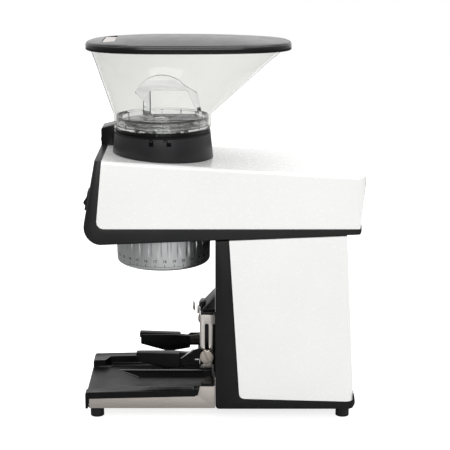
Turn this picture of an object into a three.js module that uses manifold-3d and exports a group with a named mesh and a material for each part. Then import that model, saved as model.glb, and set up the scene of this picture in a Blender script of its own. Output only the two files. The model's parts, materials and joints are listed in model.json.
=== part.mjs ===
// Electric coffee grinder with a clear hopper, a numbered grind ring and a portafilter fork.
// Millimetres, Z up. The sizes are measured from the grinding axis, which stands on the table at
// X = 0, Y = 0. The user stands at -X. The last lines move the model over the middle of its box.

import * as THREE from "three";
import { mergeVertices } from "three/addons/utils/BufferGeometryUtils.js";
import Module from "manifold-3d";

const wasm = await Module();
wasm.setup();

// Clearances and overruns
const fit = 0.3;
const seamGap = 0.4;
const runningGap = 0.5;
const overrun = 20;
const bite = 5;
const weld = 0.0001;

// Facets of a turned piece and steps of a rounded corner
const fineSides = 40;
const coarseSides = 20;
const smallSides = 10;
const nutSides = 6;
const cornerSteps = 3;
const wideArc = 15;
const wideArcSteps = 12;

// Whole machine
const ringMargin = 11.1;
const footHeight = 14.5;
const footRadius = 7.75;
const footNeckRadius = 6.9;
const footNeckHeight = 2.5;
const footInset = 20;
const frontFootX = -76.4;
const rearFootX = 205.6;

// Head casing: heights on the grinding axis, slopes as rise over run
const headTall = 88.1;
const topSlope = 0.0595;
const bellyHeight = 209.1;
const bellySlope = 0.0414;
const seamRise = 15.9;
const frontTopX = -71.9;
const frontLean = 0.187;
const frameTopDepth = 7.3;
const seamLean = 0.1;
const seamCorner = 7.5;
const chinRadius = 21;
const headRearX = 224.4;
const headRearLean = 0.108;
const headRearLip = 2.9;
const headLipHeight = 4.4;
const lipTopThickness = 0.9;
const rearCorner = 9;
const edgeRound = 3.6;
const topCorner = 4;
const frameWall = 2.6;
const coverWall = 2.5;

// Column casing
const ringToColumn = 5.6;
const stripTopDepth = 14.6;
const stripLean = 0.0655;
const stripCorner = 6;
const plinthDepth = 11.9;
const plinthSlope = 0.0276;
const plinthFrontCorner = 4;
const columnRearX = 216.7;
const columnRearLean = 0.0622;
const columnRearLip = 2.7;
const columnLipHeight = 11.8;
const shaftwayInset = 12;

// Power rocker in the front panel
const rockerRise = 44.4;
const rockerY = -40;
const rockerTall = 15;
const rockerWide = 11;
const bezelBorder = 2.2;
const bezelProud = 2.2;
const bezelDepth = 9;
const bezelSleeve = 1.2;
const rockerTip = 5.3;
const rockerShelf = 3.75;
const rockerFace = 1.6;
const rockerPivotDepth = 1;
const rockerBack = 4;

// Control pod on the far front corner of the head
const podNearY = 30.5;
const podFarY = 61.5;
const podFrontHeight = 19.5;
const podSlope = 0.25;
const podDepth = 22.6;
const podCorner = 2.5;
const lensWide = 20;
const lensTall = 8.5;
const lensThick = 1.6;
const keyRadius = 2.2;
const keyProud = 1.1;
const keyDepth = 3;
const keyPitch = 7.5;
const keyDrop = 5.2;
const keyCount = 3;

// Hopper collar and lock ring
const collarTopRadius = 53.9;
const collarFlare = 2.8;
const collarHeight = 27.6;
const collarBore = 48.7;
const lockRingHeight = 3.9;
const lockRingInset = 0.5;

// Hopper, lid and feed shutter
const hopperBaseRadius = 54.6;
const hopperBaseHeight = 14.3;
const hopperWall = 2.5;
const rimGap = 1.4;
const hopperFloor = 3;
const hopperRimHeight = 89.8;
const neckRadius = 47.9;
const neckDepth = 20;
const hopperFrontLean = 0.333;
const hopperRearLean = 1.12;
const portInner = 12;
const portOuter = 40;
const portSpanAngle = 84;
const portCount = 2;
const lidFrontX = -83.9;
const lidRearX = 143.4;
const lidWidestX = 8.6;
const lidWidth = 130;
const lidSquareness = 2.15;
const lidBand = 8;
const lidLift = 2.5;
const lidCrown = 6;
const lidWall = 2.2;
const lidFoot = 0.9;
const lidShoulder = 1.2;
const inlayFrontX = -63.9;
const inlayLong = 14;
const inlayWide = 64;
const inlayThick = 1.3;
const inlayRecess = 1.9;
const shutterRadius = 46.5;
const shutterThick = 3;
const handleThick = 7;
const handleTall = 54;
const handleReach = 47;
const handleDomeRadius = 32.8;
const handleDomeStartAngle = 30;
const handleDomeEndAngle = 40;
const handlePostX = -21;
const handleCurlX = -31.5;
const handleCurlStart = 26;
const handleCurlRise = 10;
const handleShoulderX = 39.2;
const handleShoulderTall = 34;
const handleRound = 2.5;
const postWide = 7.5;
const windowLow = 10;
const windowHigh = 37;
const windowTopX = 28;
const legWide = 7;

// Grind ring and the cone it lifts
const grindRingTaper = 0.7;
const grindRingDrop = 35.5;
const grindRingRise = 21.9;
const ringShoulder = 9.3;
const grindRingWall = 4;
const grindRingRound = 4;
const grindRingBand = 16;
const fluteCount = 31;
const fluteTurnAngle = -9.7;
const fluteDepth = 0.9;
const ringMouthBorder = 12.9;
const lipAbove = 38;
const lipThick = 3.2;
const sleeveBorder = 11.6;
const sleeveWall = 3.6;
const keyWide = 8;
const threadRimTall = 12;
const armWide = 6;
const armTall = 9;
const armCount = 3;
const hubRadius = 8.5;
const spindleRadius = 3;
const coneHeight = 20;
const coneRadius = 20.1;
const coneTopRadius = 8;
const coneTeeth = 12;
const burrGap = 0.55;
const burrTwistAngle = 40;
const burrSkirt = 1.5;
const keyTall = 36;
const nutRadius = 6;
const nutTall = 4;

// Gear train
const burrRimWide = 4.5;
const burrTeeth = 50;
const idlerTeeth = 34;
const pinionTeeth = 12;
const straightFlankTeeth = 30;
const pressureAngle = 25;
const addendumShare = 0.8;
const dedendumShare = 1.05;
const backlash = 0.3;
const gearThick = 9;
const gearRise = 41.4;
const ringBurrWide = 6.9;
const burrHubWall = 6;
const bearingWide = 6.4;
const bearingTall = 6.6;
const caseWall = 3;
const caseFloor = 3;
const tipClearance = 1.4;
const caseLid = 2.4;
const axleRadius = 4;
const idlerHub = 9;
const idlerWeb = 4;
const postRadius = 4.4;
const postCircle = 60;
const postCount = 4;
const throatTopRadius = 44;
const throatBottomRadius = 18.5;
const throatWall = 2.4;

// Motor
const motorRadius = 32;
const motorTall = 96;
const motorWall = 1.8;
const bellPlate = 3;
const bellTall = 20.5;
const bellNeck = 13;
const bellShoulder = 6;
const shaftRadius = 4;
const coreRadius = 19;
const coreTall = 52;
const coreSlots = 8;
const slotWide = 2.6;
const slotDeep = 6;
const magnetThick = 7;
const magnetSpanAngle = 130;
const magnetTall = 60;
const commutatorRadius = 10;
const commutatorTall = 14;
const commutatorGap = 2;

// Control board and power inlet
const boardGap = 30.5;
const boardTall = 90;
const boardWide = 84;
const boardThick = 1.8;
const transformerSize = 26;
const transformerOffset = 6.5;
const capacitorRadius = 8;
const capacitorTall = 22;
const relaySize = 15;
const inletWide = 28;
const inletTall = 21;
const inletDepth = 16;
const inletFlange = 2;
const inletHeight = 52;
const inletWall = 2.2;
const bladeWide = 2;
const bladeTall = 5;
const bladeLong = 8;
const bladePitch = 7;

// Steel tray base and black drip tray
const baseFrontX = -84.2;
const baseSheet = 1.5;
const baseInset = 2;
const baseFrontTall = 11.8;
const baseRearTall = 14.6;
const baseStepRise = 12.3;
const baseStepLong = 17.3;
const baseStepRun = 5.3;
const trayRimThick = 7.6;
const trayRimWide = 12;
const trayRimRound = 2.2;
const trayLip = 2.7;
const trayLipLow = 15.2;
const trayLipGap = 1.2;
const traySkin = 2;
const troughHalf = 25.3;
const troughSide = 7.3;
const troughDeep = 6.1;
const troughFrontX = -53.8;
const troughRamp = 23;
const trayRearRise = 8.2;
const rearBlockStart = 1.6;
const rearBlockMitre = 8;
const rearBlockInnerY = 41;
const cornerBlockLong = 17.8;
const cornerBlockWide = 13;
const cornerBlockEnd = 6;

// Fork holder
const bracketHalf = 33;
const bracketSheet = 1.5;
const bracketFrontX = 41.5;
const bracketBottom = 52;
const bracketTop = 116;
const bracketBend = 2.2;
const bracketFoot = 9;
const slotX = 49.7;
const slotWidth = 4.3;
const slotRound = 2.1;
const slotTop = 105.7;
const slotBottom = 63;
const notchX = 56.4;
const notchTop = 105;
const screwHeight = 67.6;
const screwRadius = 8.2;
const screwThick = 4;
const screwShank = 1.9;
const screwReach = 5;
const screwSlot = 1.5;
const screwSlotDeep = 1.2;
const screwSlotAngle = 117;
const carrierSheet = 2;
const carrierFrontX = 20.2;
const carrierDeep = 11.1;
const carrierWebTall = 3.1;
const carrierNoseTall = 8.9;
const carrierShoulderX = 34.4;
const carrierShoulderTall = 18.1;
const carrierPeakX = 41.5;
const carrierTall = 20.5;
const carrierHeelX = 42.5;
const carrierTail = 6.2;
const carrierTailHalf = 4;
const carrierRound = 3;
const prongTipX = -31;
const prongRearX = 18;
const prongOuterHalf = 39.5;
const prongInnerHalf = 27;
const prongRise = 5.6;
const prongTaperX = 12.5;
const prongShoulderX = 29.5;
const prongShoulderDrop = 3.3;
const prongOuterTipTall = 6.2;
const prongOuterTall = 17.2;
const prongInnerTipTall = 12.8;
const prongTall = 22.2;
const prongDeepX = 3.4;
const prongHeelRise = 4.5;
const prongBevel = 1.6;
const neckTall = 11;
const neckDrop = 1.8;
const hoodFrontX = 44.4;
const hoodHalf = 18;
const hoodFrontTall = 1.2;
const hoodRearTall = 17;
const hoodRecess = 1.6;
const hoodBorder = 1.8;
const pinRadius = 3.6;
const pinHalf = 6;
const clipHalf = 13;
const clipSheet = 1;
const clipReach = 6.4;
const clipThroat = 3;
const clipPinch = 0.25;
const clipMouth = 11.8;
const clipMiddle = 112.6;
const clipLeg = 8;
const boltRadius = 5;
const boltProud = 2;
const boltHeight = 101.5;

// Heights and places that follow from the sizes above
const burrBore = coneRadius + ringBurrWide;
const burrHub = burrBore + burrHubWall;
const sleeveRadius = burrHub + sleeveBorder;
const grindRingRadius = sleeveRadius + ringShoulder;
const half = grindRingRadius + ringMargin;
const topHeight = bellyHeight + headTall;
const seamHeight = bellyHeight + seamRise;
const rockerHeight = bellyHeight + rockerRise;
const grindRingBottom = bellyHeight - grindRingDrop;
const grindRingTop = bellyHeight + grindRingRise;
const gearPlane = bellyHeight + gearRise;
const gearModule = (2 * (burrHub + burrRimWide)) / burrTeeth;
const footY = half - footInset;
const standHeight = footHeight + fit;
const pitchRadius = (teeth) => (gearModule * teeth) / 2;
const tipRadius = (teeth) => pitchRadius(teeth) + gearModule * addendumShare;
const idlerX = pitchRadius(burrTeeth) + pitchRadius(idlerTeeth);
const pinionX = idlerX + pitchRadius(idlerTeeth) + pitchRadius(pinionTeeth);
const boardX = pinionX + motorRadius + boardGap;
const columnFrontX = grindRingRadius + ringToColumn;
const topAt = (x) => topHeight - topSlope * x;
const bellyAt = (x) => bellyHeight + bellySlope * x;
const frontAt = (z) => frontTopX - frontLean * (topAt(frontTopX) - z);
const seamFrontX = frontTopX + frameTopDepth;
const seamAt = (z) => seamFrontX - seamLean * (topAt(seamFrontX) - z);
const headRearAt = (z) => headRearX - headRearLean * (topAt(headRearX) - z);
const stripAt = (z) => columnFrontX + stripTopDepth + stripLean * (bellyAt(columnFrontX) - z);
const stripTopX = columnFrontX + stripTopDepth;
const plinthAt = (x) => standHeight + plinthDepth - plinthSlope * (x - stripAt(standHeight));
const columnRearAt = (z) => columnRearX - columnRearLean * (z - standHeight);
const caseBottom = gearPlane - runningGap - caseFloor;
const caseTop = gearPlane + gearThick + runningGap;
const collarTop = topHeight + collarHeight;
const hopperBottom = collarTop + lockRingHeight;
const lidBottom = hopperBottom + hopperRimHeight - lidLift;
const sleeveBottom = grindRingBottom + lipAbove;
const switchHalfWide = rockerWide / 2 + fit + bezelSleeve;
const switchHalfTall = rockerTall / 2 + fit + bezelSleeve;
const burrLow = gearPlane + gearThick - coneHeight;
const hopperFloorTop = hopperBottom + hopperFloor;
const hopperTop = hopperBottom + hopperRimHeight;
const lidEdge = lidBottom + lidBand;
const motorTop = caseBottom - fit - bellTall;
const baseRearX = columnFrontX - fit;
const baseStepX = baseRearX - baseStepLong;
const baseTopAt = (x) => standHeight + baseFrontTall
  + ((baseRearTall - baseFrontTall) * (x - baseFrontX)) / (baseStepX - baseStepRun - baseFrontX);
const rearBlockX = baseStepX + rearBlockStart;
const trayRearX = baseRearX - baseSheet - fit;
const trayFrontX = baseFrontX - trayLipGap - trayLip;
const trayUnderAt = (x) => baseTopAt(x) + fit;
const trayRimAt = (x) => trayUnderAt(x) + trayRimThick;
const apronHeight = baseTopAt(baseFrontX);
const bracketInner = bracketHalf - bracketSheet;
const carrierLow = screwHeight - carrierDeep;
const carrierTop = carrierLow + carrierTall;
const prongTop = screwHeight + prongRise;
const prongShoulderTop = prongTop - prongShoulderDrop;
const prongLow = prongTop - prongTall;

// Materials
const coat = (color, roughness, metalness) =>
  new THREE.MeshStandardMaterial({ color, roughness, metalness });
const whiteGloss = coat(0xf4f4f4, 0.2, 0);
const blackPlastic = coat(0x2b2b2d, 0.5, 0);
const blackGloss = coat(0x1d1d1f, 0.15, 0);
const clearPlastic = new THREE.MeshStandardMaterial({
  color: 0xe8ecec, roughness: 0.05, metalness: 0, transparent: true, opacity: 0.35,
});
const steel = coat(0xa8a098, 0.35, 1);
const ringAluminium = coat(0xb4b6b8, 0.4, 1);
const hardSteel = coat(0x8c8f93, 0.3, 1);
const acetal = coat(0xe6e2d6, 0.55, 0);
const castAlloy = coat(0x9b9d9f, 0.6, 1);
const rubber = coat(0x17171a, 0.9, 0);
const boardGreen = coat(0x2f6b3c, 0.6, 0);
const magnetGrey = coat(0x3c3d40, 0.7, 0.2);

const radians = THREE.MathUtils.degToRad;
const around = (count, make) => Array.from({ length: count }, (_, index) => make(index));

// Closed meshes and the cuts between them
function solid(geometry) {
  const bare = geometry.clone();
  bare.deleteAttribute("normal");
  bare.deleteAttribute("uv");
  const merged = mergeVertices(bare, weld);
  const places = merged.attributes.position;
  const corner = (index) => new THREE.Vector3().fromBufferAttribute(places, merged.index.getX(index));
  const triangles = [];
  let volume = 0;
  for (let index = 0; index < merged.index.count; index += 3) {
    const [a, b, c] = [0, 1, 2].map((step) => merged.index.getX(index + step));
    if (a === b || b === c || a === c) continue;
    triangles.push([a, b, c]);
    volume += corner(index).dot(corner(index + 1).cross(corner(index + 2)));
  }
  const outward = volume < 0 ? triangles.map(([a, b, c]) => [a, c, b]) : triangles;
  return new wasm.Manifold(new wasm.Mesh({
    numProp: 3,
    vertProperties: new Float32Array(places.array),
    triVerts: new Uint32Array(outward.flat()),
  }));
}

const asSolid = (item) => (item.isBufferGeometry ? solid(item) : item);
const join = (...items) => items.map(asSolid).reduce((whole, next) => whole.add(next));
const common = (...items) => items.map(asSolid).reduce((whole, next) => whole.intersect(next));
const cut = (body, ...tools) => tools.map(asSolid).reduce(
  (left, tool) => left.subtract(tool), asSolid(body),
);

function surface(manifold) {
  const { vertProperties, triVerts } = manifold.getMesh();
  const geometry = new THREE.BufferGeometry();
  geometry.setAttribute("position", new THREE.BufferAttribute(new Float32Array(vertProperties), 3));
  geometry.setIndex(new THREE.BufferAttribute(new Uint32Array(triVerts), 1));
  geometry.computeVertexNormals();
  return geometry;
}

// An outline from its corners, each [x, y] or [x, y, radius]
function outline(corners) {
  const points = corners.flatMap(([x, y, radius = 0], index) => {
    const corner = new THREE.Vector2(x, y);
    if (radius === 0) return [corner];
    const towards = (step) => {
      const other = corners[(index + step + corners.length) % corners.length];
      return new THREE.Vector2(other[0], other[1]).sub(corner).normalize();
    };
    const back = towards(-1);
    const ahead = towards(1);
    const halfAngle = Math.acos(THREE.MathUtils.clamp(back.dot(ahead), -1, 1)) / 2;
    const middle = back.clone().add(ahead).normalize();
    const centre = corner.clone().addScaledVector(middle, radius / Math.sin(halfAngle));
    const from = corner.clone().addScaledVector(back, radius / Math.tan(halfAngle)).sub(centre);
    const sweep = (Math.PI - 2 * halfAngle) * Math.sign(ahead.cross(back));
    const steps = radius > wideArc ? wideArcSteps : cornerSteps;
    return around(steps + 1, (step) =>
      from.clone().rotateAround(new THREE.Vector2(), (sweep * step) / steps).add(centre));
  });
  return new THREE.Shape(points);
}

const box = (x0, y0, x1, y1, radius = 0) =>
  outline([[x0, y0, radius], [x1, y0, radius], [x1, y1, radius], [x0, y1, radius]]);

function circle(x, y, radius) {
  const shape = new THREE.Shape();
  shape.absarc(x, y, radius, 0, 2 * Math.PI, false);
  return shape;
}

// Prisms: the outline lies in XY, XZ or YZ and is drawn along the axis left over
function prismZ(shape, from, to, steps = cornerSteps) {
  const settings = { depth: to - from, bevelEnabled: false, curveSegments: steps };
  return new THREE.ExtrudeGeometry(shape, settings).translate(0, 0, from);
}

function prismY(shape, from, to, steps = cornerSteps) {
  const turn = new THREE.Matrix4().makeBasis(
    new THREE.Vector3(1, 0, 0), new THREE.Vector3(0, 0, 1), new THREE.Vector3(0, -1, 0));
  return prismZ(shape, -to, -from, steps).applyMatrix4(turn);
}

function prismX(shape, from, to, steps = cornerSteps) {
  const turn = new THREE.Matrix4().makeBasis(
    new THREE.Vector3(0, 1, 0), new THREE.Vector3(0, 0, 1), new THREE.Vector3(1, 0, 0));
  return prismZ(shape, from, to, steps).applyMatrix4(turn);
}

// A turned piece about Z, from [radius, z] pairs
function turned(profile, sides = fineSides) {
  const onAxis = profile[0][0] === 0;
  const closed = onAxis ? profile : [...profile, profile[0]];
  const points = closed.map(([radius, z]) => new THREE.Vector2(radius, z));
  return new THREE.LatheGeometry(points, sides).rotateX(Math.PI / 2);
}

const disc = (radius, from, to, sides = fineSides) =>
  turned([[0, from], [radius, from], [radius, to], [0, to]], sides);
const tube = (inner, outer, from, to, sides = fineSides) =>
  turned([[inner, from], [outer, from], [outer, to], [inner, to]], sides);

// A skin through rings of [x, y, z] points, closed by a fan at each end
function loft(rings) {
  const count = rings[0].length;
  const middle = (ring) => [0, 1, 2].map((axis) => ring.reduce(
    (sum, point) => sum + point[axis], 0,
  ) / count);
  const points = [...rings.flat(), middle(rings[0]), middle(rings[rings.length - 1])];
  const index = [];
  rings.slice(1).forEach((ring, layer) => {
    for (let side = 0; side < count; side += 1) {
      const next = (side + 1) % count;
      const [a, b] = [layer * count + side, layer * count + next];
      index.push(a, b, b + count, a, b + count, a + count);
    }
  });
  const top = (rings.length - 1) * count;
  for (let side = 0; side < count; side += 1) {
    const next = (side + 1) % count;
    index.push(rings.length * count, next, side, rings.length * count + 1, top + side, top + next);
  }
  const geometry = new THREE.BufferGeometry();
  geometry.setAttribute("position", new THREE.Float32BufferAttribute(points.flat(), 3));
  geometry.setIndex(index);
  return geometry;
}


// Head casing
function headSection(halfWidth, drop) {
  // Rounded along its two top edges and turned to lie along the sloping top
  const tall = topHeight - bellyHeight + overrun;
  const long = headRearX + overrun;
  const section = outline([
    [-halfWidth, -tall], [halfWidth, -tall], [halfWidth, 0, edgeRound], [-halfWidth, 0, edgeRound],
  ]);
  return prismX(section, -long, long).rotateY(Math.atan(topSlope)).translate(0, 0, topHeight - drop);
}

function plan(frontX, rearX, halfWidth, corner) {
  const shape = outline([
    [frontX, -halfWidth], [rearX, -halfWidth, corner], [rearX, halfWidth, corner], [frontX, halfWidth],
  ]);
  return prismZ(shape, 0, topHeight + overrun);
}

function headCoverBlock(wall) {
  // Outer block with no wall; the hollow runs out past the open front and bottom
  const open = wall > 0 ? overrun : 0;
  const low = seamHeight + seamGap - open;
  const frontLow = seamAt(low) + seamGap - open;
  const frontHigh = seamFrontX + seamGap - open;
  const side = prismY(outline([
    [frontLow, low, open ? 0 : seamCorner],
    [headRearAt(low) - wall, low],
    [headRearX - wall, topAt(headRearX), topCorner],
    [frontHigh, topAt(frontHigh)],
  ]), -half, half);
  return common(
    side, headSection(half - wall, wall),
    plan(frontLow - overrun, headRearX - wall, half - wall, rearCorner),
  );
}

function headCover() {
  const throat = disc(collarBore, topAt(0) - overrun, topAt(0) + overrun);
  return cut(headCoverBlock(0), headCoverBlock(coverWall), throat);
}

function headFrame() {
  const rearX = headRearAt(seamHeight) + headRearLip;
  const lipTop = seamHeight + headLipHeight;
  const chinX = (z) => frontAt(z);
  const chinZ = bellyAt(chinX(bellyHeight));
  const outer = prismY(outline([
    [frontTopX, topAt(frontTopX)],
    [chinX(chinZ), chinZ, chinRadius],
    [rearX, bellyAt(rearX), topCorner],
    [headRearAt(lipTop) + fit + lipTopThickness, lipTop],
    [headRearAt(lipTop) + fit, lipTop],
    [headRearAt(seamHeight) + fit, seamHeight],
    [seamAt(seamHeight), seamHeight, seamCorner],
    [seamFrontX, topAt(seamFrontX)],
  ]), -half, half);
  const innerChinX = chinX(chinZ) + frameWall;
  const roof = topAt(frontTopX) - frameWall - edgeRound;
  const inner = prismY(outline([
    [frontAt(roof) + frameWall, roof],
    [innerChinX, bellyAt(innerChinX) + frameWall, chinRadius - frameWall],
    [rearX - headRearLip - frameWall, bellyAt(rearX) + frameWall],
    [rearX - headRearLip - frameWall, topHeight],
    [seamFrontX + overrun, topHeight + overrun],
    [seamFrontX + overrun, roof],
  ]), -half + frameWall, half - frameWall);
  const shell = cut(
    common(outer, bellySection(), plan(frontAt(0) - overrun, rearX, half, rearCorner), frontSection()),
    inner,
  );
  const ringHole = disc(grindRingRadius + runningGap, bellyAt(0) - overrun, bellyAt(0) + overrun);
  const shaftway = prismZ(
    box(
      columnFrontX + frameWall, -half + shaftwayInset, columnRearX - 2 * shaftwayInset,
      half - shaftwayInset, topCorner,
    ),
    bellyAt(0) - overrun, seamHeight,
  );
  const switchHole = prismX(
    box(
      rockerY - switchHalfWide - fit, -switchHalfTall - fit, rockerY + switchHalfWide + fit,
      switchHalfTall + fit,
    ),
    -overrun, overrun,
  ).rotateY(Math.atan(frontLean)).translate(frontAt(rockerHeight), 0, rockerHeight);
  return cut(shell, ringHole, shaftway, switchHole);
}

function bellySection() {
  // Rounded along the two lower edges of the head
  const tall = topHeight - bellyHeight + overrun;
  const long = headRearX + overrun;
  const section = outline([
    [-half, 0, edgeRound], [half, 0, edgeRound], [half, tall], [-half, tall],
  ]);
  return prismX(section, -long, long).rotateY(-Math.atan(bellySlope)).translate(0, 0, bellyHeight);
}

function frontSection() {
  // Rounded along the two upright edges of the front panel
  const long = headRearX + overrun;
  const section = outline([
    [0, half, edgeRound], [0, -half, edgeRound], [2 * long, -half], [2 * long, half],
  ]);
  return prismZ(
    section, -long, long,
  ).rotateY(Math.atan(frontLean)).translate(frontTopX, 0, topAt(frontTopX));
}

// Column casing
function columnFrame() {
  const rearX = columnRearAt(standHeight) + columnRearLip;
  const lipTop = standHeight + columnLipHeight + topCorner;
  const seamX = stripAt(plinthAt(stripAt(standHeight)));
  const topFront = bellyAt(columnFrontX) - fit;
  const outer = prismY(outline([
    [columnFrontX, topFront],
    [columnFrontX, standHeight, plinthFrontCorner],
    [rearX, standHeight, rearCorner - columnRearLip],
    [columnRearAt(lipTop) + fit + lipTopThickness, lipTop],
    [columnRearAt(lipTop) + fit, lipTop],
    [columnRearAt(plinthAt(rearX)) + fit, plinthAt(rearX)],
    [seamX, plinthAt(seamX), stripCorner],
    [stripTopX, bellyAt(stripTopX) - fit],
  ]), -half, half);
  const inner = prismY(outline([
    [columnFrontX + frameWall, topFront + overrun],
    [columnFrontX + frameWall, standHeight + frameWall],
    [rearX - columnRearLip - frameWall, standHeight + frameWall],
    [rearX - columnRearLip - frameWall, topFront + overrun],
  ]), -half + frameWall, half - frameWall);
  return cut(common(outer, plan(columnFrontX - overrun, rearX, half, rearCorner)), inner);
}

function columnCoverBlock(wall) {
  const open = wall > 0 ? overrun : 0;
  const seamX = stripAt(plinthAt(stripAt(standHeight))) + seamGap;
  const high = (x) => bellyAt(x) - fit + open;
  const topX = stripTopX + seamGap;
  const rearTopX = columnRearAt(bellyAt(columnRearX));
  const lowZ = plinthAt(columnRearX) + seamGap;
  const rearLow = columnRearAt(lowZ) - wall;
  const side = prismY(outline([
    [topX - open, high(topX)],
    [seamX - open, plinthAt(seamX) + seamGap - open, open ? 0 : stripCorner],
    [rearLow, lowZ - open],
    [rearTopX - wall, high(rearTopX - wall)],
  ]), -half, half);
  return common(side, plan(topX - open - overrun, rearLow, half - wall, rearCorner));
}

function columnCover() {
  const opening = prismX(
    box(-inletWide / 2 - fit, -inletTall / 2 - fit, inletWide / 2 + fit, inletTall / 2 + fit),
    -overrun, overrun,
  ).rotateY(-Math.atan(columnRearLean)).translate(columnRearAt(inletHeight), 0, inletHeight);
  return cut(columnCoverBlock(0), columnCoverBlock(coverWall), opening);
}

function foot() {
  return turned([
    [0, 0], [footRadius, 0],
    [footRadius, footHeight - footNeckHeight], [footNeckRadius, footHeight - footNeckHeight],
    [footNeckRadius, footHeight], [0, footHeight],
  ], coarseSides);
}

// Power rocker and its bezel, drawn square and turned to the leaning panel when they are placed
function switchBezel() {
  const border = bezelBorder + fit;
  const flange = prismX(box(
    -switchHalfWide - border, -switchHalfTall - border, switchHalfWide + border, switchHalfTall + border,
    bezelBorder,
  ), -fit - bezelProud, -fit);
  const sleeve = prismX(
    box(-switchHalfWide, -switchHalfTall, switchHalfWide, switchHalfTall), -bezelProud, bezelDepth,
  );
  const window = prismX(box(
    -switchHalfWide + bezelSleeve, -switchHalfTall + bezelSleeve, switchHalfWide - bezelSleeve,
    switchHalfTall - bezelSleeve,
  ), -overrun, overrun);
  return cut(join(flange, sleeve), window);
}

function rocker() {
  const barrel = prismY(
    circle(rockerPivotDepth, 0, rockerTall / 2), -rockerWide / 2, rockerWide / 2, coarseSides,
  );
  const face = prismY(outline([
    [rockerBack, -rockerTall], [-rockerTip, -rockerTall], [-rockerTip, -rockerShelf],
    [-bezelProud - rockerFace / 2, rockerFace], [-rockerFace, rockerTall], [rockerBack, rockerTall],
  ]), -rockerWide, rockerWide);
  return common(barrel, face);
}

// Control pod on the far front corner of the head
const podTopAt = (x) => topAt(frontTopX) + podFrontHeight + podSlope * (x - frontTopX);
const podMiddle = (podNearY + podFarY) / 2;
const podFloor = topAt(frontTopX) + fit;
const lensMiddle = podFloor + podFrontHeight - lensTall / 2 - coverWall - fit;
const keyRow = podFloor + keyDrop;
const keyYs = around(keyCount, (index) => podMiddle + (index - (keyCount - 1) / 2) * keyPitch);

function podBlock(wall) {
  const open = wall > 0 ? overrun : 0;
  const [front, rear] = [frontTopX + wall, frontTopX + podDepth - wall];
  const side = prismY(outline([
    [front, topAt(front) + fit - open],
    [rear, topAt(rear) + fit - open],
    [rear, podTopAt(rear) - wall, wall ? 0 : podCorner],
    [front, podTopAt(front) - wall, wall ? 0 : podCorner],
  ]), podNearY + wall, podFarY - wall);
  return side;
}

function controlPod() {
  const pocket = prismX(box(
    podMiddle - lensWide / 2 - fit, lensMiddle - lensTall / 2 - fit,
    podMiddle + lensWide / 2 + fit, lensMiddle + lensTall / 2 + fit,
  ), frontTopX - overrun, frontTopX + lensThick + fit);
  const keyHoles = keyYs.map((y) => prismX(
    circle(y, keyRow, keyRadius + fit), frontTopX - overrun, frontTopX + coverWall + bite,
    smallSides));
  return cut(podBlock(0), podBlock(coverWall), pocket, ...keyHoles);
}

const displayLens = () => prismX(box(
  podMiddle - lensWide / 2, lensMiddle - lensTall / 2, podMiddle + lensWide / 2, lensMiddle + lensTall / 2,
), frontTopX, frontTopX + lensThick);
const podKey = (y) => prismX(
  circle(y, keyRow, keyRadius), frontTopX - keyProud, frontTopX + keyDepth, smallSides,
);

// Hopper collar and lock ring
function hopperCollar() {
  const deep = topSlope * (collarTopRadius + overrun);
  const flareAt = (z) => collarTopRadius + (collarFlare * (collarTop - z)) / collarHeight;
  const ring = turned([
    [collarBore, topHeight - deep], [flareAt(topHeight - deep), topHeight - deep],
    [collarTopRadius, collarTop - fit], [collarTopRadius - fit, collarTop], [collarBore, collarTop],
  ]);
  const long = 2 * collarTopRadius;
  const below = prismY(outline([
    [-long, topAt(-long) + fit], [-long, 0], [long, 0], [long, topAt(long) + fit],
  ]), -long, long);
  return cut(ring, below);
}

const lockRing = () =>
  tube(collarBore, collarTopRadius - lockRingInset, collarTop + fit, hopperBottom - fit);

// Egg-shaped plan shared by the lid and the hopper rim
function egg(z, inset, share = 1) {
  const power = 2 / lidSquareness;
  return around(fineSides, (index) => {
    const turn = (2 * Math.PI * index) / fineSides;
    const [u, v] = [Math.cos(turn), Math.sin(turn)];
    const reach = u < 0 ? lidWidestX - lidFrontX : lidRearX - lidWidestX;
    const x = Math.sign(u) * Math.abs(u) ** power * (reach - inset) * share;
    const y = Math.sign(v) * Math.abs(v) ** power * (lidWidth / 2 - inset) * share;
    return [lidWidestX + x, y, z];
  });
}

const ring = (radius, z) => around(fineSides, (index) => {
  const turn = (2 * Math.PI * index) / fineSides;
  return [radius * Math.cos(turn), radius * Math.sin(turn), z];
});

// Rim of the hopper wall at a height above the round base
function hopperRing(z, wall) {
  const rise = z - hopperBottom - hopperBaseHeight;
  const tall = hopperRimHeight - hopperBaseHeight;
  const share = rise / tall;
  const [frontX, rearX] = [
    -hopperBaseRadius - hopperFrontLean * tall + wall, hopperBaseRadius + hopperRearLean * tall - wall];
  const halfWide = lidWidth / 2 - lidWall - 2 * fit - rimGap - wall;
  const power = 2 / lidSquareness;
  return around(fineSides, (index) => {
    const turn = (2 * Math.PI * index) / fineSides;
    const [u, v] = [Math.cos(turn), Math.sin(turn)];
    const reach = u < 0 ? lidWidestX - frontX : rearX - lidWidestX;
    const rimX = lidWidestX + Math.sign(u) * Math.abs(u) ** power * reach;
    const rimY = Math.sign(v) * Math.abs(v) ** power * halfWide;
    const [baseX, baseY] = [(hopperBaseRadius - wall) * u, (hopperBaseRadius - wall) * v];
    return [baseX + (rimX - baseX) * share, baseY + (rimY - baseY) * share, z];
  });
}

// Two sector-shaped ports, beside the handle
function ports(from, to) {
  const sector = (index) => {
    const middle = Math.PI / 2 + (2 * Math.PI * index) / portCount;
    const spread = radians(portSpanAngle) / 2;
    const shape = new THREE.Shape();
    shape.absarc(0, 0, portOuter, middle - spread, middle + spread, false);
    shape.absarc(0, 0, portInner, middle + spread, middle - spread, true);
    return prismZ(shape, from, to, nutSides);
  };
  return around(portCount, sector);
}

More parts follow.
